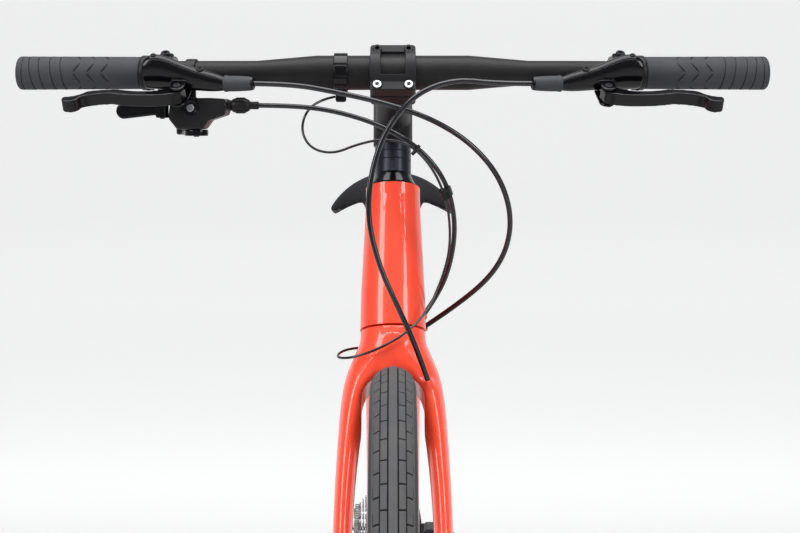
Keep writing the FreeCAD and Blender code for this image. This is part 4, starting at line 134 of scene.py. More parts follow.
def axes(origin, x_axis, z_axis):
    """Matrix of a frame from its origin, X direction and Z direction."""
    z = Vector(z_axis).normalized()
    x = Vector(x_axis)
    x = (x - z * x.dot(z)).normalized()
    matrix = Matrix((x, z.cross(x), z)).transposed().to_4x4()
    matrix.translation = Vector(origin)
    return matrix


STEER = axes(CROWN, STEER_AHEAD, STEER_UP)
STEM = axes(BAR_MIDDLE, STEM_AHEAD, STEM_ABOVE)
CONTROL = axes(PERCH, REACH, LEVER_UP)
POD = axes(PERCH, FORWARD, (0, 0, 1))
GRIP = axes(BAR_TIP - OUTWARD * GRIP_LENGTH, FORWARD, OUTWARD)

# Points closer than this are merged
TINY = 1e-6
# Voxel size and smoothing passes that round the edges of the copy of a node
ROUNDING = {
    "fork": (0.0016, 0), "stem": (0.0008, 8), "stem_faceplate": (0.00055, 5), "bar_bracket": (0.0006, 5),
    "brake_body_left": (0.00075, 5), "brake_lever_left": (0.00065, 6), "shifter_body": (0.0007, 6),
    "shift_lever": (0.0006, 6), "release_lever": (0.0006, 6), "saddle": (0.0028, 10),
}
SMOOTH_FACTOR = 0.5


# Selecting and shaping


def nothing_selected():
    if bpy.context.object is not None and bpy.context.object.mode != "OBJECT":
        leave_edit()
    bpy.ops.object.select_all(action="DESELECT")


def make_active(piece):
    """Only this piece is selected and active."""
    nothing_selected()
    piece.select_set(True)
    bpy.context.view_layer.objects.active = piece


def edit(piece, kind):
    """Edit mode with nothing selected."""
    make_active(piece)
    bpy.ops.object.mode_set(mode="EDIT")
    bpy.ops.mesh.select_mode(type=kind)
    bpy.ops.mesh.select_all(action="DESELECT")


def edit_all(piece, kind="VERT"):
    """Edit mode with everything selected."""
    edit(piece, kind)
    bpy.ops.mesh.select_all(action="SELECT")


def leave_edit():
    bpy.ops.object.mode_set(mode="OBJECT")


def pick(piece, kind, items, test):
    """Edit mode with the items of a mesh selected that pass the test."""
    edit(piece, kind)
    leave_edit()
    for item in getattr(piece.data, items):
        item.select = bool(test(item))
    bpy.ops.object.mode_set(mode="EDIT")


def pick_points(piece, test):
    """Picks vertices by their place."""
    pick(piece, "VERT", "vertices", lambda point: test(point.co))


def extrude(*move):
    """Extrudes what is selected and moves it."""
    bpy.ops.mesh.extrude_region_move(TRANSFORM_OT_translate={"value": move})


def raise_faces(piece, test, height):
    """Extrudes the faces that pass a test along their normals; a height below zero sinks them."""
    pick(piece, "FACE", "polygons", test)
    bpy.ops.mesh.extrude_region_shrink_fatten(TRANSFORM_OT_shrink_fatten={"value": height})
    leave_edit()


def pocket(piece, test, rim, *move):
    """Insets the faces that pass a test and moves their middle."""
    pick(piece, "FACE", "polygons", test)
    bpy.ops.mesh.inset(thickness=rim)
    extrude(*move)
    leave_edit()


def clean(piece, threshold=TINY):
    """Doubles merged and faces turned outwards."""
    edit_all(piece)
    bpy.ops.mesh.remove_doubles(threshold=threshold)
    bpy.ops.mesh.normals_make_consistent(inside=False)
    leave_edit()


def modify(piece, kind, **settings):
    """Adds a modifier and applies it."""
    modifier = piece.modifiers.new(kind.title(), kind)
    for name, value in settings.items():
        setattr(modifier, name, value)
    make_active(piece)
    bpy.ops.object.modifier_apply(modifier=modifier.name)


def cut(piece, tool):
    """Cuts a tool out of a piece; the tool itself goes."""
    modify(piece, "BOOLEAN", operation="DIFFERENCE", object=tool, solver="EXACT")
    bpy.data.objects.remove(tool)


def shade(piece, degrees=35):
    """Smooth shading, but for edges sharper than the angle."""
    make_active(piece)
    bpy.ops.object.shade_smooth_by_angle(angle=math.radians(degrees))
    return piece


def shade_all(piece):
    make_active(piece)
    bpy.ops.object.shade_smooth()
    return piece


def placed(piece, matrix):
    """Moves a piece's mesh by a matrix; a mirroring matrix also turns the faces."""
    piece.data.transform(matrix)
    if matrix.determinant() < 0:
        piece.data.flip_normals()
    return piece


def primitive(kind, name, **settings):
    """New primitive under its own name, with its place in its mesh."""
    nothing_selected()
    getattr(bpy.ops.mesh, f"primitive_{kind}_add")(**settings)
    piece = bpy.context.active_object
    piece.name = piece.data.name = name
    bpy.context.view_layer.update()
    piece.data.transform(piece.matrix_world)
    piece.matrix_world = Matrix.Identity(4)
    return piece


def copied(piece, name, place=None):
    """Copy with a mesh of its own, moved by a matrix."""
    mesh = piece.data.copy()
    mesh.name = name
    twin = bpy.data.objects.new(name, mesh)
    bpy.context.scene.collection.objects.link(twin)
    return twin if place is None else placed(twin, place)


def joined(name, pieces):
    """Several pieces as one object."""
    make_active(pieces[0])
    for piece in pieces:
        piece.select_set(True)
    bpy.ops.object.join()
    pieces[0].name = name
    return pieces[0]


def merged_copy(node, name):
    """Copy of a CAD node's mesh with its loose triangles joined."""
    piece = copied(NODES[node], name)
    make_active(piece)
    bpy.ops.mesh.customdata_custom_splitnormals_clear()
    edit_all(piece)
    bpy.ops.mesh.remove_doubles(threshold=2 * TINY)
    leave_edit()
    return piece


def softened(piece, node):
    """Even mesh whose edges are rounded as the node asks."""
    voxel, passes = ROUNDING[node]
    modify(piece, "REMESH", mode="VOXEL", voxel_size=voxel)
    if passes:
        modify(piece, "SMOOTH", factor=SMOOTH_FACTOR, iterations=passes)
    return shade_all(piece)


def soft_copy(node, name):
    """Copy of a CAD node's mesh with rounded edges."""
    return softened(merged_copy(node, name), node)


def ringed(name, stations, sides):
    """Round piece along Z through (height, radius) stations, closed at both ends."""
    height, radius = stations[0]
    piece = primitive("circle", name, vertices=sides, radius=radius, fill_type="NGON",
                      location=(0, 0, height))
    edit_all(piece, "FACE")
    for (low, before), (high, after) in zip(stations, stations[1:]):
        extrude(0, 0, high - low)
        if after != before:
            bpy.ops.transform.resize(value=(after / before, after / before, 1), center_override=(0, 0, high))
    leave_edit()
    clean(piece)
    return piece


def cut_box(piece, low, high, place):
    """Cuts a box, given by two corners in a frame, out of a piece."""
    tool = primitive(
        "cube", "cutter", size=1, location=[(start + stop) / 2 for start, stop in zip(low, high)],
        scale=[stop - start for start, stop in zip(low, high)])
    cut(piece, placed(tool, place))


def finish_piece(piece, material, slot, *nodes, body="steering"):
    """Material, body and the nodes that the piece stands for; the slot is not used."""
    if material is not None:
        piece.data.materials.clear()
        piece.data.materials.append(MATERIALS[material])
    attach(piece, body)
    if nodes:
        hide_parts(*nodes)


def both_sides(piece, material, slot, *nodes, body="steering"):
    """Finishes a left piece and its mirrored twin; "left" in a name turns into "right"."""
    twin = copied(piece, piece.name.replace("left", "right"), MIRROR)
    for item, side in ((piece, "left"), (twin, "right")):
        finish_piece(item, material, slot, *(node.replace("left", side) for node in nodes),
                     body=body.replace("left", side))


def surface(node, start, direction):
    """Where a ray from a point first meets a node."""
    hit, place, *_ = NODES[node].ray_cast(Vector(start), Vector(direction))
    if not hit:
        raise RuntimeError(f"no surface of {node} ahead of {tuple(start)}")
    return place


# Node groups and materials


def new_group(name, inputs, outputs):
    """Empty shader group; the kind of a socket follows from its default."""
    group = bpy.data.node_groups.new(name, "ShaderNodeTree")
    for side, sockets in (("INPUT", inputs), ("OUTPUT", outputs)):
        for label, default in sockets.items():
            kind = "NodeSocketColor" if isinstance(default, tuple) else "NodeSocketFloat"
            socket = group.interface.new_socket(name=label, in_out=side, socket_type=kind)
            socket.default_value = default
    return group, group.nodes.new("NodeGroupInput"), group.nodes.new("NodeGroupOutput")


def set_inputs(node, values):
    for socket, value in values.items():
        node.inputs[socket].default_value = value


def added(tree, kind, values=None, **settings):
    """New shader node with its settings and the values of its inputs."""
    node = tree.nodes.new(f"ShaderNode{kind}")
    for name, value in settings.items():
        setattr(node, name, value)
    set_inputs(node, values or {})
    return node


def linked(tree, rows):
    """Links nodes; each row is a node, its output, the next node and its input."""
    for start, output, stop, socket in rows:
        tree.links.new(start.outputs[output], stop.inputs[socket])


def grain_group():
    """Fine moulded or cast grain: a height for bump and a roughness that wanders a little."""
    group, source, target = new_group(
        "Surface grain", {"Grain scale": 900.0, "Patch scale": 14.0, "Roughness": 0.5, "Spread": 0.1},
        {"Height": 0.0, "Roughness": 0.0})
    coords = added(group, "TexCoord")
    fine = added(group, "TexNoise", {"Detail": 2.0})
    patch = added(group, "TexNoise", {"Detail": 4.0})
    centred = added(group, "Math", {1: 0.5}, operation="SUBTRACT")
    spread = added(group, "Math", operation="MULTIPLY_ADD")
    linked(group, [
        (coords, "Object", fine, "Vector"), (coords, "Object", patch, "Vector"),
        (source, "Grain scale", fine, "Scale"), (source, "Patch scale", patch, "Scale"),
        (patch, "Fac", centred, 0), (centred, 0, spread, 0), (source, "Spread", spread, 1),
        (source, "Roughness", spread, 2), (fine, "Fac", target, "Height"),
        (spread, 0, target, "Roughness")])
    return group


def dust_group():
    """Base colour with paler dust in soft patches."""
    group, source, target = new_group(
        "Dust", {"Base": (0.1, 0.1, 0.1, 1), "Dust": (0.3, 0.3, 0.3, 1), "Amount": 0.3, "Scale": 20.0},
        {"Color": (0, 0, 0, 1)})
    coords = added(group, "TexCoord")
    cloud = added(group, "TexNoise", {"Detail": 6.0, "Roughness": 0.62})
    ramp = added(group, "MapRange", {"From Min": 0.42, "From Max": 0.72})
    amount = added(group, "Math", operation="MULTIPLY")
    mix = added(group, "Mix", data_type="RGBA")
    linked(group, [
        (coords, "Object", cloud, "Vector"), (source, "Scale", cloud, "Scale"),
        (cloud, "Fac", ramp, "Value"), (ramp, "Result", amount, 0), (source, "Amount", amount, 1),
        (amount, 0, mix, "Factor"), (source, "Base", mix, 6), (source, "Dust", mix, 7),
        (mix, 2, target, "Color")])
    return group


GRAIN_HEIGHT = 0.0004


@dataclass
class Finish:
    """Recipe of one material: a Principled shader fed by the shared groups.

    The colour is a tuple or the name of a setting.
    """

    name: str
    colour: tuple | str
    dust_colour: tuple
    roughness: float
    grain: float
    bump: float
    dust: float
    metallic: float = 0.0
    spread: float = 0.12
    dust_scale: float = 18.0
    coat: float = 0.0
    coat_roughness: float = 0.05
    specular: float = 0.5

    def material(self, groups, settings):
        """The material itself."""
        colour = getattr(settings, self.colour) if isinstance(self.colour, str) else self.colour
        material = bpy.data.materials.new(self.name)
        material.use_nodes = True
        tree = material.node_tree
        shader = tree.nodes["Principled BSDF"]
        set_inputs(shader, {
            "Metallic": self.metallic, "Specular IOR Level": self.specular, "Coat Weight": self.coat,
            "Coat Roughness": self.coat_roughness})
        grain = added(tree, "Group", {
            "Grain scale": self.grain, "Roughness": self.roughness, "Spread": self.spread,
        }, node_tree=groups["grain"])
        dust = added(tree, "Group", {
            "Base": (*colour, 1), "Dust": (*self.dust_colour, 1), "Amount": self.dust,
            "Scale": self.dust_scale,
        }, node_tree=groups["dust"])
        bump = added(tree, "Bump", {"Strength": self.bump, "Distance": GRAIN_HEIGHT})
        linked(tree, [
            (dust, "Color", shader, "Base Color"), (grain, "Roughness", shader, "Roughness"),
            (grain, "Height", bump, "Height"), (bump, "Normal", shader, "Normal")])
        return material


RECIPES = {
    "paint": Finish(
        "Orange-red gloss paint", "paint", (0.95, 0.095, 0.036), 0.38, grain=2600, bump=0.03, spread=0.05,
        dust=0.25, dust_scale=9, coat=0.8, coat_roughness=0.06, specular=0.3),
    "black": Finish(
        "Satin black alloy", "black", (0.045, 0.044, 0.044), 0.42, grain=3200, bump=0.1, spread=0.1,
        dust=0.15, dust_scale=26, specular=0.2),
    "bar": Finish(
        "Matte black bar", (0.01, 0.0096, 0.0105), (0.03, 0.026, 0.024), 0.44, grain=2600, bump=0.1,
        spread=0.14, dust=0.35, dust_scale=16, specular=0.2),
    "spacer": Finish(
        "Dark anodised spacers", (0.022, 0.024, 0.036), (0.04, 0.04, 0.05), 0.3, metallic=0.6, grain=1800,
        bump=0.04, spread=0.08, dust=0.2),
    "gloss": Finish(
        "Gloss black alloy", (0.0025, 0.0025, 0.0035), (0.008, 0.008, 0.01), 0.16, grain=1500, bump=0.03,
        spread=0.06, dust=0.12, dust_scale=40, specular=0.3),
    "plastic": Finish(
        "Black moulded plastic", (0.011, 0.011, 0.012), (0.02, 0.02, 0.022), 0.38, grain=2200, bump=0.1,
        spread=0.1, dust=0.15, dust_scale=50, specular=0.2),
    "rubber": Finish(
        "Grip rubber", "rubber", (0.075, 0.077, 0.084), 0.66, grain=2400, bump=0.22, spread=0.1, dust=0.3,
        dust_scale=34, specular=0.2),
    "boot": Finish(
        "Boot rubber", (0.036, 0.038, 0.044), (0.06, 0.06, 0.066), 0.55, grain=2400, bump=0.15, dust=0.2,
        dust_scale=50, specular=0.3),
    "tyre": Finish(
        "Tyre rubber", "tyre", (0.105, 0.103, 0.1), 0.72, grain=1500, bump=0.3, spread=0.1, dust=0.5,
        dust_scale=30, specular=0.15),
    # Painted shade: the walls and floors of the tread's grooves are coloured far darker than the tyre's
    # rubber
    "groove": Finish(
        "Tread groove", (0.016, 0.016, 0.016), (0.04, 0.038, 0.036), 0.85, grain=900, bump=0.2, dust=0.4,
        dust_scale=60, specular=0.1),
    "sidewall": Finish(
        "Tyre sidewall", (0.024, 0.024, 0.026), (0.05, 0.048, 0.046), 0.62, grain=900, bump=0.22, dust=0.3,
        dust_scale=22, specular=0.25),
    "band": Finish(
        "Reflective band", "band", (0.25, 0.25, 0.25), 0.45, grain=3000, bump=0.12, dust=0.25, dust_scale=40),
    "hose": Finish(
        "Hose jacket", (0.007, 0.007, 0.01), (0.014, 0.014, 0.018), 0.17, grain=1400, bump=0.03, spread=0.06,
        dust=0.2, dust_scale=60, specular=0.6),
    "steel": Finish(
        "Bright steel", (0.55, 0.56, 0.58), (0.34, 0.34, 0.35), 0.26, metallic=1.0, grain=1600, bump=0.05,
        spread=0.16, dust=0.3, dust_scale=60),
    "chain": Finish(
        "Oiled chain steel", (0.3, 0.29, 0.28), (0.08, 0.07, 0.06), 0.34, metallic=1.0, grain=900, bump=0.06,
        spread=0.2, dust=0.7, dust_scale=120),
    "rim": Finish(
        "Black anodised rim", (0.016, 0.016, 0.018), (0.04, 0.04, 0.04), 0.34, metallic=0.2, grain=2400,
        bump=0.06, dust=0.2),
    "spoke": Finish(
        "Black spokes", (0.024, 0.024, 0.026), (0.05, 0.05, 0.05), 0.3, metallic=0.5, grain=2400, bump=0.03,
        dust=0.2),
    "saddle": Finish(
        "Saddle cover", (0.009, 0.009, 0.0105), (0.014, 0.014, 0.016), 0.58, grain=1300, bump=0.35,
        dust=0.25, dust_scale=20, specular=0.03),
    "shell": Finish(
        "Saddle base", (0.018, 0.018, 0.02), (0.03, 0.03, 0.03), 0.55, grain=1200, bump=0.15, dust=0.2,
        specular=0.2),
}
MATERIALS = {}
# Finish of each node of the frame that stays in view; any other is black alloy
NODE_FINISH = {
    "paint": ("head_tube", "top_tube", "down_tube", "seat_tube", "chainstays", "seatstays", "bottom_bracket"),
    "bar": ("handlebar",),
    "plastic": ("guide_pulley", "tension_pulley"),
    "steel": ("cassette", "front_rotor", "rear_rotor"),
    "chain": ("chain",),
    "rim": ("front_rim", "rear_rim", "chainring"),
    "spoke": ("front_spokes", "rear_spokes"),
}


class BIKE_OT_finishes(bpy.types.Operator):
    """Makes the materials and gives every node of the frame its finish."""

    bl_idname = "bike.finishes"
    bl_label = "Finishes"

    def execute(self, context):
        groups = {"grain": grain_group(), "dust": dust_group()}
        for key, recipe in RECIPES.items():
            MATERIALS[key] = recipe.material(groups, context.scene.bike_colours)
        finishes = {name: key for key, names in NODE_FINISH.items() for name in names}
        for name, node in NODES.items():
            node.data.materials.clear()
            node.data.materials.append(MATERIALS[finishes.get(name, "black")])
        return {"FINISHED"}


# Stage: the floor, steps of the backdrop at its far edge (ahead and up), and the lights: name, place, the
# point that a light faces, size and power
FLOOR_SIZE = 16
FLOOR_WIDENING = 3
FAR_EDGE = -7
BACKDROP_STEPS = ((-1.2, 0.3), (-0.9, 0.9), (-0.3, 1.2), (0, 6.0))
LIGHTS = (
    ("key_left", (2.4, -2.6, 2.3), (0.3, 0, 0.7), (1.2, 2.0), 60),
    ("key_right", (2.6, 2.8, 2.0), (0.3, 0, 0.7), (1.0, 2.0), 52),
    ("top", (0.5, 0, 3.4), (0.3, 0, 0.5), (3.0, 2.4), 110),
    ("strip", (1.8, 0, 2.3), (0.36, 0, 0.95), (2.6, 0.07), 6),
)


def soft_light(name, place, target, size, power):
    """Rectangular light panel that the camera does not see."""
    light = bpy.data.lights.new(name, "AREA")
    light.shape = "RECTANGLE"
    light.size, light.size_y = size
    light.energy = power
    item = bpy.data.objects.new(name, light)
    bpy.context.scene.collection.objects.link(item)
    item.location = place
    item.visible_camera = False
    item.rotation_mode = "QUATERNION"
    item.rotation_quaternion = (Vector(target) - Vector(place)).to_track_quat("-Z", "Y")


def floor_material(settings):
    """Pale floor that grows lighter towards the backdrop."""
    material = bpy.data.materials.new("Pale floor")
    material.use_nodes = True
    tree = material.node_tree
    shader = tree.nodes["Principled BSDF"]
    set_inputs(shader, {
        "Base Color": (*settings.floor, 1), "Roughness": 0.9, "Emission Strength": settings.floor_glow})
    coords = added(tree, "TexCoord")
    split = added(tree, "SeparateXYZ")
    fade = added(tree, "MapRange", {"From Min": -0.6, "From Max": -3.3}, interpolation_type="SMOOTHSTEP")
    linked(tree, [
        (coords, "Object", split, "Vector"), (split, "X", fade, "Value"),
        (fade, "Result", shader, "Emission Color")])
    return material


class BIKE_OT_stage(bpy.types.Operator):
    """Floor, soft studio light and the camera."""

    bl_idname = "bike.stage"
    bl_label = "Stage"

    def floor(self, settings):
        """Floor whose far edge rises into a backdrop."""
        floor = primitive("plane", "floor", size=FLOOR_SIZE, location=(0, 0, 0))
        edit_all(floor, "EDGE")
        bpy.ops.transform.resize(value=(1, FLOOR_WIDENING, 1), center_override=(0, 0, 0))
        bpy.ops.mesh.select_all(action="DESELECT")
        leave_edit()
        for edge in floor.data.edges:
            edge.select = all(floor.data.vertices[end].co.x < FAR_EDGE for end in edge.vertices)
        bpy.ops.object.mode_set(mode="EDIT")
        for ahead, up in BACKDROP_STEPS:
            extrude(ahead, 0, up)
        leave_edit()
        shade_all(floor)
        floor.data.materials.append(floor_material(settings))

    def camera(self, scene, settings):
        """Camera of the main picture."""
        data = bpy.data.cameras.new("camera")
        data.lens = settings.focal_length
        data.sensor_width = 36
        data.clip_start = 0.05
        data.clip_end = 200
        camera = bpy.data.objects.new("camera", data)
        scene.collection.objects.link(camera)
        camera.location = settings.camera_place
        camera.rotation_euler = (
            math.pi / 2 - settings.camera_pitch, 0, math.pi / 2 - settings.camera_yaw)
        scene.camera = camera

    def execute(self, context):
        scene = context.scene
        self.floor(scene.bike_stage)
        world = bpy.data.worlds.new("Studio")
        scene.world = world
        world.use_nodes = True
        set_inputs(world.node_tree.nodes["Background"], {"Color": (0.95, 0.97, 1.0, 1), "Strength": 0.25})
        for row in LIGHTS:
            soft_light(*row)
        self.camera(scene, scene.bike_stage)
        scene.view_settings.view_transform = "Standard"
        return {"FINISHED"}


# Cords: name, node, diameter, stiffness, whether it crosses the steering, control points in millimetres
CORDS = (
    ("front_hose_line", "front_brake_hose", 0.005, "stiff", False, [
        (389.35, 135, 945.52), (399.25, 94, 945.47), (408, 56, 949.6), (416, 20, 936.6), (422, -6, 905.6),
        (425, -20, 866.6), (427, -23, 824.6), (427, -13, 782.6), (424, 4, 744.6), (416, 21, 707.6),
        (403, 33, 671.6)]),
    ("rear_hose_line", "rear_brake_hose", 0.005, "stiff", True, [
        (389.35, -135, 945.52), (399.25, -94, 945.47), (406, -50, 937.6), (409, -6, 927.6), (407, 36, 913.6),
        (399, 74, 889.6), (387, 101, 855.6), (370, 111, 814.6), (348, 100, 774.6), (324, 66, 739.6),
        (297, 26, 710.6)]),
    ("housing_line", "shift_housing", 0.0046, "stiff", True, [
        (374.45, -129.2, 925.57), (380.85, -88.7, 925.57), (387, -48, 919.6), (394, -8, 906.6),
        (395, 26, 885.6), (387, 49, 856.6), (374, 58, 819.6), (356, 55, 782.6), (334, 44, 748.6),
        (312, 26, 721.6)]),
    ("wire_line", "sensor_wire", 0.0024, "limp", False, [
        (364.05, -53.5, 933.57), (368.05, -68, 930.57), (379, -81, 918.6), (389, -84, 900.6),
        (394, -74, 885.6), (395, -54, 881.6), (396, -32, 890.6), (399, -8, 895.6), (402, 16, 890.6),
        (398, 36, 869.6), (390, 49, 840.6), (377, 53, 812.6), (365, 52, 786.6), (363, 44, 760.6),
        (377, 32, 735.6), (393, 12, 716.6), (399, -12, 703.6), (395, -36, 694.6), (383, -51, 692.6),
        (368, -51, 695.6), (355, -41, 698.6), (346, -29, 698.6)]),
)
# Points along each cord's path, by the cord's name
PATHS = {}


def route_curve(name, route, diameter):
    """Smooth cord whose control points are the route's points."""
    curve = bpy.data.curves.new(name, "CURVE")
    curve.dimensions = "3D"
    curve.resolution_u = 10
    spline = curve.splines.new("NURBS")
    spline.points.add(len(route) - 1)
    for point, place in zip(spline.points, route):
        point.co = (*(part * MM for part in place), 1)
    spline.order_u = 3
    spline.use_endpoint_u = True
    piece = bpy.data.objects.new(name, curve)
    bpy.context.scene.collection.objects.link(piece)
    line = bpy.data.meshes.new_from_object(piece)
    path = [point.co.copy() for point in line.vertices]
    bpy.data.meshes.remove(line)
    curve.bevel_depth = diameter / 2
    curve.bevel_resolution = 5
    curve.use_fill_caps = True
    curve.materials.append(MATERIALS["hose"])
    return piece, path


def nearest_on(path, place):
    """Point of a path nearest to a place, and the path's direction there."""
    index = min(range(1, len(path) - 1), key=lambda step: (path[step] - place).length)
    return path[index], (path[index + 1] - path[index - 1]).normalized()


class BIKE_OT_hoses(bpy.types.Operator):
    """Brake hoses, gear housing and the thin wire."""

    bl_idname = "bike.hoses"
    bl_label = "Hoses and wire"

    def execute(self, context):
        for name, node, diameter, stiffness, crosses, route in CORDS:
            piece, path = route_curve(name, route, diameter)
            PATHS[name] = path
            if crosses:
                make_active(piece)
                bpy.ops.object.convert(target="MESH")
                piece = context.active_object
                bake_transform(piece)
            else:
                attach(piece, "steering")
            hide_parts(node)
        return {"FINISHED"}


# Tie and clip on the gear housing: name, a point near it, its width; radii, edge and reach of the band
TIES = (
    ("cable_tie", (0.396, 0.022, 0.889), 0.0028),
    ("cable_clip", (0.3835, 0.0515, 0.845), 0.0085),
)
TIE_RADIUS = 0.0042
TIE_LIP = 0.0036
TIE_EDGE = 0.0004
TIE_REACH = 0.0095


class BIKE_OT_cable_ties(bpy.types.Operator):
    """Tie and clip that hold the wire to the gear housing."""

    bl_idname = "bike.cable_ties"
    bl_label = "Cable tie and clip"

    def execute(self, context):
        housing, wire = PATHS["housing_line"], PATHS["wire_line"]
        for name, target, width in TIES:
            centre, along = nearest_on(housing, Vector(target))
            other, _ = nearest_on(wire, centre)
            across = other - centre
            band = ringed(name, [
                (-width / 2, TIE_LIP), (-width / 2 + TIE_EDGE, TIE_RADIUS),
                (width / 2 - TIE_EDGE, TIE_RADIUS), (width / 2, TIE_LIP)], 28)
            placed(band, Matrix.Diagonal((1 + across.length / TIE_REACH, 1, 1, 1)))
            head = primitive("cube", f"{name}_head", size=1, location=(0, 0.0048, 0),
                             scale=(0.0044, 0.0034, width * 1.1))
            edit_all(head, "EDGE")
            bpy.ops.mesh.bevel(offset=0.0006, segments=2)
            leave_edit()
            piece = joined(name, [band, head])
            placed(piece, axes(centre + across * 0.45, across, along))
            shade(piece)
            finish_piece(piece, "plastic", "black_plastic")
        return {"FINISHED"}


# Tyres: section circle, its distance from the axle, rim edge
SECTION = 0.02
SECTION_MIDDLE = 0.33
RIM_EDGE = 0.317
TYRE_RADIUS = 0.35
# Points of the whole section circle; the sidewall between these degrees keeps every third one
SECTION_POINTS = 180
SECTION_STEP = 360 / SECTION_POINTS
SIDEWALL = (55, 128)
TREAD_SLANT = math.radians(-15)
SIPE = 0.0019
# Degrees of the section from the crown: grooves that run round, cuts of the two rows of blocks, dashes,
# pale band, edge of the tread
RING_GROOVES = ((10, 14), (30, 34))
INNER_ROW = (14, 30)
OUTER_ROW = (34, 52)
DASHES = (52, 54)
BAND = (94, 106)
TREAD_EDGE = 62
# Material indices of a tyre; the groove faces get a far darker colour, which is painted shade in the recesses
TREAD_FACE, SHADED_GROOVE_FACE, SIDE_FACE, BAND_FACE = range(4)


class BIKE_OT_tyres(bpy.types.Operator):
    """Tyres with a centre rib, two rows of blocks to each side and a reflective band."""

    bl_idname = "bike.tyres"
    bl_label = "Tyres"

    def profile(self):
        """Closed section of the tyre, swept back to both sides of the crown."""
        piece = primitive(
            "circle", "front_tyre_rubber", vertices=SECTION_POINTS, radius=SECTION, fill_type="NOTHING",
            location=(0, 0, SECTION_MIDDLE), rotation=(0, math.pi / 2, 0))
        pick_points(piece, lambda place: place.z < RIM_EDGE)
        bpy.ops.mesh.delete(type="VERT")
        leave_edit()

        def spare(place):
            turn = math.degrees(math.atan2(abs(place.y), place.z - SECTION_MIDDLE))
            return SIDEWALL[0] < turn < SIDEWALL[1] and round(turn / SECTION_STEP) % 3

        pick_points(piece, spare)
        bpy.ops.mesh.dissolve_verts()
        leave_edit()
        low = min(point.co.z for point in piece.data.vertices)
        pick_points(piece, lambda place: place.z < low + 1e-5)
        bpy.ops.mesh.edge_face_add()
        leave_edit()
        for side in (1, -1):
            pick_points(piece, lambda place: place.y * side > TINY)
            bpy.ops.transform.rotate(
                value=side * TREAD_SLANT, orient_axis="Z", center_override=(0, 0, SECTION_MIDDLE))
            leave_edit()
        edit_all(piece)
        bpy.ops.transform.resize(value=(1, 1 / math.cos(TREAD_SLANT), 1), center_override=(0, 0, 0))
        leave_edit()
        return piece

    def kind(self, face):
        """Material index of a face."""
        centre = face.center
        reach = math.hypot(centre.x, centre.z)
        turn = math.degrees(math.atan2(abs(centre.y), reach - SECTION_MIDDLE))
        lag = self.lean * abs(centre.y) * math.tan(abs(TREAD_SLANT)) / reach
        along = abs(math.atan2(centre.x, centre.z) - lag)
        rows = [(row, True) for row in RING_GROOVES]
        rows += [(INNER_ROW, along < self.sipe), (OUTER_ROW, self.half < along < self.half + self.sipe),
                 (DASHES, along > self.half + self.sipe)]
        if any(sunk and low < turn < high for (low, high), sunk in rows):
            return SHADED_GROOVE_FACE
        if BAND[0] < turn < BAND[1]:
            return BAND_FACE
        return TREAD_FACE if turn < TREAD_EDGE else SIDE_FACE

    def execute(self, context):
        sizes = context.scene.bike_sizes
        count = sizes.tread_pitches
        pitch = 2 * math.pi / count
        self.sipe = SIPE / TYRE_RADIUS
        self.half = pitch / 2
        piece = self.profile()
        edge = [point.co for point in piece.data.vertices if point.co.y > 0.01][0]
        self.lean = 1 if edge.x > 0 else -1
        plain = (pitch / 2 - self.sipe) / 2
        edit_all(piece)
        for turn in (self.sipe, plain, plain) * 2:
            bpy.ops.mesh.spin(steps=1, angle=turn, center=(0, 0, 0), axis=(0, 1, 0))
        leave_edit()
        for key in ("tyre", "groove", "sidewall", "band"):
            piece.data.materials.append(MATERIALS[key])
        for face in piece.data.polygons:
            face.material_index = self.kind(face)
        edit_all(piece)
        bpy.ops.mesh.spin(steps=count - 1, dupli=True, angle=2 * math.pi * (count - 1) / count,
                          center=(0, 0, 0), axis=(0, 1, 0))
        leave_edit()
        clean(piece, 2e-5)
        raise_faces(piece, lambda face: face.material_index == SHADED_GROOVE_FACE, -sizes.tread_depth)
        clean(piece)
        shade(piece, 40)
        rear = copied(piece, "rear_tyre_rubber", Matrix.Translation(REAR_AXLE))
        placed(piece, Matrix.Translation(FRONT_AXLE))
        finish_piece(piece, None, "tyre", "front_tyre", body="front_wheel")
        finish_piece(rear, None, "tyre", "rear_tyre", body="rear_wheel")
        return {"FINISHED"}


def socket_bolt(name, radius, height):
    """Socket-head bolt whose seat is at the origin and whose head points along Z."""
    edge = radius * 0.12
    piece = ringed(name, [
        (-0.002, radius * 0.6), (0, radius * 0.6), (1e-5, radius), (height - edge, radius),
        (height, radius - edge)], 24)
    pocket(piece, lambda face: face.normal.z > 0.9 and face.center.z > height - TINY,
           radius * 0.36, 0, 0, -height * 0.6)
    return shade(piece)


# Grips: places along the grip from its inner end, radii, and half widths of the grooves
GRIP_ARCS = (0.0853, 0.0953, 0.1062, 0.1154, 0.1235)
GRIP_CHEVRONS = (0.043, 0.0565, 0.07)
ARC_TILT = math.radians(9)
ARC_HALF = 0.0006
ARC_EDGE = 0.0002
CHEVRON_FROM, CHEVRON_TO, CHEVRON_STEP = 0.03, 0.079, 0.0007
GRIP_RADIUS = 0.015
GRIP_FLARE = 0.0006
TIP_ROUND = 0.0032
COLLAR = 0.0115
COLLAR_RADIUS = 0.0162
# The collar's pocket for its screw lies between these places
POCKET = (0.003, 0.0082)


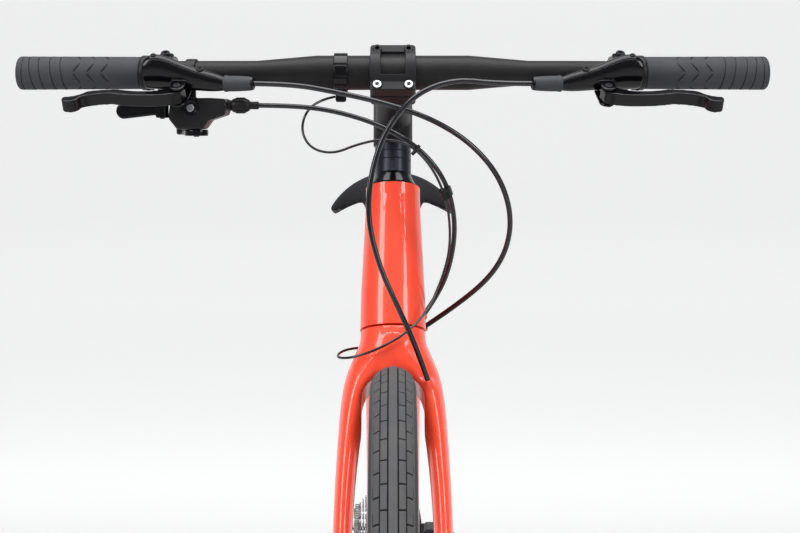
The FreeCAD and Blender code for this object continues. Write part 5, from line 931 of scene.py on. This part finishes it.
class BIKE_OT_grips(bpy.types.Operator):
    """Grips with arc grooves, chevrons and a lock collar with its screw."""

    bl_idname = "bike.grips"
    bl_label = "Grips"

    def rubber(self, depth):
        """Rubber sleeve along Z with grooves of this depth."""
        start, stop = COLLAR + 0.0002, GRIP_LENGTH

        def radius(place):
            return GRIP_RADIUS + GRIP_FLARE * (place - start) / (stop - start)

        stations = [(start, 0.0142), (start + 0.0008, radius(start))]
        place = CHEVRON_FROM
        while place < CHEVRON_TO:
            stations.append((place, radius(place)))
            place += CHEVRON_STEP
        for groove in GRIP_ARCS:
            high, low = radius(groove), radius(groove) - depth
            stations += [(groove - ARC_HALF, high), (groove - ARC_HALF + ARC_EDGE, low),
                         (groove + ARC_HALF - ARC_EDGE, low), (groove + ARC_HALF, high)]
        for step in range(7):
            turn = math.radians(15 * step)
            stations.append((stop - TIP_ROUND * (1 - math.sin(turn)),
                             radius(stop) - TIP_ROUND * (1 - math.cos(turn))))
        piece = ringed("grip_left_rubber", stations, 144)
        for groove in GRIP_ARCS[:-1]:
            pick_points(piece, lambda place: abs(place.z - groove) < 0.001)
            bpy.ops.transform.rotate(value=ARC_TILT, orient_axis="X", center_override=(0, 0, groove))
            bpy.ops.transform.resize(value=(1, 1 / math.cos(ARC_TILT), 1), center_override=(0, 0, groove))
            leave_edit()

        def chevron(face):
            centre = face.center
            turn = math.degrees(math.atan2(centre.y, centre.x))
            turn = abs((turn + 45) % 90 - 45)
            if abs(face.normal.z) > 0.5 or not 6 < turn < 36:
                return False
            half = 0.0013 * (1.15 - turn / 40)
            spine = 0.004 - turn * 0.00018
            return any(abs(centre.z - level - spine) < half for level in GRIP_CHEVRONS)

        raise_faces(piece, chevron, -1.2 * depth)
        return shade(piece, 40)

    def collar(self):
        """Lock collar along Z with a screw in its pocket."""
        piece = ringed("grip_left_collar", [
            (0, 0.0148), (0.0006, 0.0159), (0.0012, COLLAR_RADIUS), (POCKET[0], COLLAR_RADIUS),
            (POCKET[1], COLLAR_RADIUS), (COLLAR - 0.0012, COLLAR_RADIUS), (COLLAR - 0.0006, 0.0159),
            (COLLAR, 0.015)], 72)
        pocket(piece, lambda face: face.center.y > 0.0145 and POCKET[0] < face.center.z < POCKET[1],
               0.0003, 0, -0.0016, 0)
        shade(piece)
        screw = socket_bolt("grip_screw", 0.0017, 0.0016)
        placed(screw, axes((0.0005, 0.0148, 0.0056), (1, 0, 0), (0, 1, 0)))
        return joined("grip_left_collar", [piece, screw])

    def execute(self, context):
        rubber = placed(self.rubber(context.scene.bike_sizes.groove_depth), GRIP)
        collar = placed(self.collar(), GRIP)
        both_sides(rubber, "rubber", "grip_rubber", "grip_left")
        both_sides(collar, "plastic", "black_alloy")
        return {"FINISHED"}


# The fork is smoothed more between these levels below the crown, with a fade at each
FORK_TOP, FORK_TOP_FADE = 0.004, 0.02
FORK_FOOT, FORK_FOOT_FADE = 0.3, 0.05


def clamped(value):
    return min(1, max(0, value))


class BIKE_OT_fork(bpy.types.Operator):
    """Fork with its crown and legs blended into one another."""

    bl_idname = "bike.fork"
    bl_label = "Fork"

    def execute(self, context):
        piece = soft_copy("fork", "fork_painted")
        group = piece.vertex_groups.new(name="blend")
        inverse = STEER.inverted()
        for point in piece.data.vertices:
            level = -(inverse @ point.co).z
            weight = (clamped((level - FORK_TOP) / FORK_TOP_FADE)
                      * clamped((FORK_FOOT - level) / FORK_FOOT_FADE))
            group.add([point.index], weight, "REPLACE")
        modify(piece, "SMOOTH", factor=SMOOTH_FACTOR, iterations=30, vertex_group="blend")
        modify(piece, "SMOOTH", factor=SMOOTH_FACTOR, iterations=2)
        shade(piece, 50)
        finish_piece(piece, "paint", "frame_paint", "fork")
        return {"FINISHED"}


# Faceplate bolts in the stem's frame, and the boxes that are cut out of the plate
BOLT_SIDE = 0.0145
BOLT_LEVEL = 0.021
LOWER_SEAT, UPPER_SEAT = 0.009, 0.005
PLATE_CUTS = (
    ((0.005, -0.0115, -0.012), (0.04, 0.0115, 0.018)),
    ((0.0075, -0.03, 0.0168), (0.04, 0.03, 0.04)),
)
# Levels along the steering axis, and heights of the spacers from the lowest up
PINCH_LEVELS = (0.192, 0.215)
CAP_SEAT = 0.2276
COVER_FOOT = 0.1395
COVER_HEIGHT = 0.013
SPACERS = (0.0135, 0.008, 0.008)


class BIKE_OT_stem(bpy.types.Operator):
    """Stem, faceplate, bolts, top cap, spacers and headset cover."""

    bl_idname = "bike.stem"
    bl_label = "Stem and headset"

    def bolts(self):
        """Two bright bolts below, and the dark ones with the top cap; the two upper faceplate bolts are dark
        as painted shade.
        """
        model = socket_bolt("bolt_model", 0.0042, 0.005)
        bright, dark = [], []
        for side in (-1, 1):
            for above in (-1, 1):
                # The upper faceplate bolts are copies of the bright lower ones, made dark as painted shade
                depth = LOWER_SEAT if above < 0 else UPPER_SEAT
                seat = STEM @ axes((depth, side * BOLT_SIDE, above * BOLT_LEVEL), (0, 1, 0), (1, 0, 0))
                (bright if above < 0 else dark).append(copied(model, "stem_bolt", seat))
        for level in PINCH_LEVELS:
            seat = STEER @ axes((-0.0216, 0.009, level), (1, 0, 0), (0, 1, 0))
            dark.append(copied(model, "stem_pinch_bolt", seat))
        cap = ringed("stem_cap", [
            (0.225, 0.0166), (0.2252, 0.0171), (0.2272, 0.0171), (0.228, 0.0166), (0.2284, 0.0158),
            (0.2284, 0.006), (0.2278, 0.0052)], 64)
        shade(placed(cap, STEER))
        dark += [cap, copied(model, "stem_cap_bolt", STEER @ Matrix.Translation((0, 0, CAP_SEAT)))]
        bpy.data.objects.remove(model)
        return joined("stem_bolts_front", bright), joined("stem_bolts_top", dark)

    def stack(self):
        """Headset cover and the spacers above it."""
        cover = ringed("headset_cover", [(COVER_FOOT + level, radius) for level, radius in (
            (0.0003, 0.0215), (0.0008, 0.0221), (0.0022, 0.0222), (0.0034, 0.0215), (0.0085, 0.0188),
            (0.011, 0.0177), (0.0128, 0.0173), (COVER_HEIGHT, 0.017))], 72)
        rings = []
        low = COVER_FOOT + COVER_HEIGHT
        for index, height in enumerate(SPACERS):
            rings.append(ringed(f"spacer_{index}", [
                (low + 0.0001, 0.0168), (low + 0.0005, 0.0172), (low + height - 0.0005, 0.0172),
                (low + height - 0.0001, 0.0168)], 72))
            low += height
        spacers = joined("headset_spacer_rings", rings)
        for piece in (cover, spacers):
            shade(placed(piece, STEER))
        return cover, spacers

    def execute(self, context):
        stem = soft_copy("stem", "stem_body")
        finish_piece(stem, "bar", "black_alloy", "stem")
        plate = merged_copy("stem_faceplate", "stem_plate")
        for low, high in PLATE_CUTS:
            cut_box(plate, low, high, STEM)
        softened(plate, "stem_faceplate")
        finish_piece(plate, "black", "black_alloy", "stem_faceplate")
        bright, dark = self.bolts()
        finish_piece(bright, "steel", "steel", "stem_hardware")
        # Black alloy bolts and cap; on the two upper faceplate bolts the black is painted shade
        finish_piece(dark, "black", "black_alloy")
        cover, spacers = self.stack()
        finish_piece(cover, "gloss", "black_alloy")
        finish_piece(spacers, "spacer", "dark_alloy", "headset_spacers")
        return {"FINISHED"}


def boot_model():
    """Rubber boot along Z with a lip where it grips the body."""
    piece = ringed("brake_left_boot", [
        (0, 0.0066), (0.0004, 0.0074), (0.0016, 0.0077), (0.003, 0.0077), (0.0036, 0.0072), (0.006, 0.0073),
        (0.012, 0.0072), (0.02, 0.0068), (0.0255, 0.0064), (0.0272, 0.0059), (0.028, 0.005),
        (0.0282, 0.0034)], 40)
    modify(piece, "SUBSURF", levels=1, render_levels=1)
    return shade_all(piece)


# Ends of a hose boot in the frame of its brake body, and how deep the screws sit in it
BOOT_START, BOOT_END = Vector((0.025, -0.0578, 0.002)), Vector((0.027, -0.086, 0.003))
SCREW_SINK = 0.0003
# Screws of a brake body: a place above each in its own frame, radius and height of the head
BRAKE_SCREWS = (
    ("clamp", (0.003, 0.0, 0.06), 0.0042, 0.0035),
    ("pivot", (0.043, -0.018, 0.06), 0.0034, 0.0012),
    ("bleed", (0.024, -0.036, 0.06), 0.0036, 0.0016),
    ("cap", (0.023, 0.006, 0.06), 0.0026, 0.0012),
)


class BIKE_OT_brake_controls(bpy.types.Operator):
    """Brake bodies, levers, hose boots and their screws."""

    bl_idname = "bike.brake_controls"
    bl_label = "Brake controls"

    def execute(self, context):
        body = soft_copy("brake_body_left", "brake_left_body")
        lever = soft_copy("brake_lever_left", "brake_left_blade")
        boot = placed(boot_model(), CONTROL @ axes(BOOT_START, (1, 0, 0), BOOT_END - BOOT_START))
        screws = []
        for name, place, radius, height in BRAKE_SCREWS:
            seat = surface("brake_body_left", CONTROL @ Vector(place), -LEVER_UP)
            screw = socket_bolt(f"brake_{name}_screw", radius, height)
            screws.append(placed(screw, axes(seat - LEVER_UP * SCREW_SINK, REACH, LEVER_UP)))
        screws = joined("brake_left_screws", screws)
        both_sides(body, "gloss", "black_alloy", "brake_body_left")
        both_sides(lever, "gloss", "black_alloy", "brake_lever_left", body="brake_lever_left")
        both_sides(boot, "boot", "grip_rubber")
        both_sides(screws, "black", "black_alloy")
        return {"FINISHED"}


# Shifter, in the frame of its pod: axis of the round cover, seat of its screw, foot of the adjuster
DISC_SIDE, DISC_LEVEL = -0.026, -0.032
DISC_SCREW = 0.0236
KNOB_FOOT = (0.009, -0.0618, -0.03)
# Ribs of the adjuster: degrees from one to the next, levels and height
RIB_PITCH = 30
RIB_LEVELS = (0.0045, 0.0115)
RIB_HEIGHT = 0.0006


class BIKE_OT_shifter(bpy.types.Operator):
    """Trigger shifter, its two levers and the knurled cable adjuster."""

    bl_idname = "bike.shifter"
    bl_label = "Shifter"

    def knob(self):
        """Cable adjuster along Z with raised ribs and the socket of the housing."""
        piece = ringed("adjuster_knob", [
            (0.0003, 0.0052), (0.0008, 0.006), (0.003, 0.0066), (0.004, 0.0068), (0.012, 0.0068),
            (0.013, 0.0066), (0.0152, 0.0056), (0.0166, 0.0046), (0.0168, 0.0036), (0.0244, 0.0036),
            (0.0249, 0.0033), (0.0249, 0.0026), (0.0182, 0.0026)], 48)

        def rib(face):
            turn = math.degrees(math.atan2(face.center.y, face.center.x)) % RIB_PITCH
            return RIB_LEVELS[0] < face.center.z < RIB_LEVELS[1] and turn < RIB_PITCH / 2

        raise_faces(piece, rib, RIB_HEIGHT)
        return shade(piece)

    def execute(self, context):
        place = MIRROR @ POD
        pod = soft_copy("shifter_body", "shifter_pod")
        finish_piece(pod, "plastic", "black_plastic", "shifter_body")
        for node in ("shift_lever", "release_lever"):
            piece = soft_copy(node, f"{node}_paddle")
            finish_piece(piece, "gloss", "black_plastic", node, body=node)
        disc = ringed("shifter_cover", [
            (0.022, 0.0086), (0.0232, 0.0086), (0.024, 0.008), (0.0243, 0.0068), (0.024, 0.006),
            (0.0238, 0.005)], 48)
        shade(placed(disc, place @ axes((0, DISC_SIDE, DISC_LEVEL), (0, 1, 0), (1, 0, 0))))
        finish_piece(disc, "gloss", "black_plastic")
        screw = socket_bolt("shifter_screw", 0.0036, 0.0018)
        placed(screw, place @ axes((DISC_SCREW, DISC_SIDE, DISC_LEVEL), (0, 1, 0), (1, 0, 0)))
        finish_piece(screw, "steel", "steel")
        knob = placed(self.knob(), place @ axes(KNOB_FOOT, (1, 0, 0), (0, -1, 0)))
        finish_piece(knob, "plastic", "black_plastic", "barrel_adjuster", body="barrel_adjuster")
        return {"FINISHED"}


class BIKE_OT_bar_band(bpy.types.Operator):
    """Band on the bar that holds the wire."""

    bl_idname = "bike.bar_band"
    bl_label = "Bar band"

    def execute(self, context):
        band = soft_copy("bar_bracket", "bar_band")
        finish_piece(band, "gloss", "black_plastic", "bar_bracket")
        return {"FINISHED"}


# Hollow under the saddle's wings, with its axis below the top, and the half width of the keel that stays;
# a face that looks down more steeply than this belongs to the base
ARCH_RADIUS = 0.11
ARCH_LENGTH = 0.4
ARCH_DROP = 0.1364
KEEL_HALF = 0.033
BASE_NORMAL = -0.35


class BIKE_OT_saddle(bpy.types.Operator):
    """Padded saddle on its base."""

    bl_idname = "bike.saddle"
    bl_label = "Saddle"

    def execute(self, context):
        piece = merged_copy("saddle", "saddle_pad")
        self.arch(piece)
        softened(piece, "saddle")
        piece.data.materials.clear()
        for key in ("saddle", "shell"):
            piece.data.materials.append(MATERIALS[key])
        for face in piece.data.polygons:
            face.material_index = 1 if face.normal.z < BASE_NORMAL else 0
        finish_piece(piece, None, "saddle_cover", "saddle", body="seat")
        return {"FINISHED"}

    def arch(self, piece):
        """Hollows the wings from below; the keel over the rails stays."""
        low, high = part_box("saddle")
        tool = primitive(
            "cylinder", "arch", vertices=96, radius=ARCH_RADIUS, depth=ARCH_LENGTH,
            rotation=(0, math.pi / 2, 0), location=((low[0] + high[0]) / 2, 0, high[2] - ARCH_DROP))
        cut_box(tool, (-1, -KEEL_HALF, -1), (1, KEEL_HALF, 2), Matrix.Identity(4))
        cut(piece, tool)


OPERATORS = (
    BIKE_OT_finishes, BIKE_OT_stage, BIKE_OT_hoses, BIKE_OT_cable_ties, BIKE_OT_tyres, BIKE_OT_grips,
    BIKE_OT_fork, BIKE_OT_stem, BIKE_OT_brake_controls, BIKE_OT_shifter, BIKE_OT_bar_band, BIKE_OT_saddle,
)


class BIKE_PT_panel(bpy.types.Panel):
    """Sidebar panel that lists the pieces."""

    bl_idname = "BIKE_PT_panel"
    bl_label = "Hybrid bicycle"
    bl_space_type = "VIEW_3D"
    bl_region_type = "UI"
    bl_category = "Bicycle"

    def draw(self, context):
        for group, kind in SETTINGS.items():
            for name in kind.__annotations__:
                self.layout.prop(getattr(context.scene, group), name)
        for operator in OPERATORS:
            self.layout.operator(operator.bl_idname)


SETTINGS = {"bike_colours": BikeColours, "bike_sizes": BikeSizes, "bike_stage": StageSettings}
CLASSES = (*SETTINGS.values(), *OPERATORS, BIKE_PT_panel)


def register():
    for item in CLASSES:
        bpy.utils.register_class(item)
    for group, kind in SETTINGS.items():
        setattr(bpy.types.Scene, group, bpy.props.PointerProperty(type=kind))


def unregister():
    for group in SETTINGS:
        delattr(bpy.types.Scene, group)
    for item in reversed(CLASSES):
        bpy.utils.unregister_class(item)


def main():
    register()
    for operator in OPERATORS:
        group, name = operator.bl_idname.split(".")
        getattr(getattr(bpy.ops, group), name)()


if __name__ == "__main__":
    main()
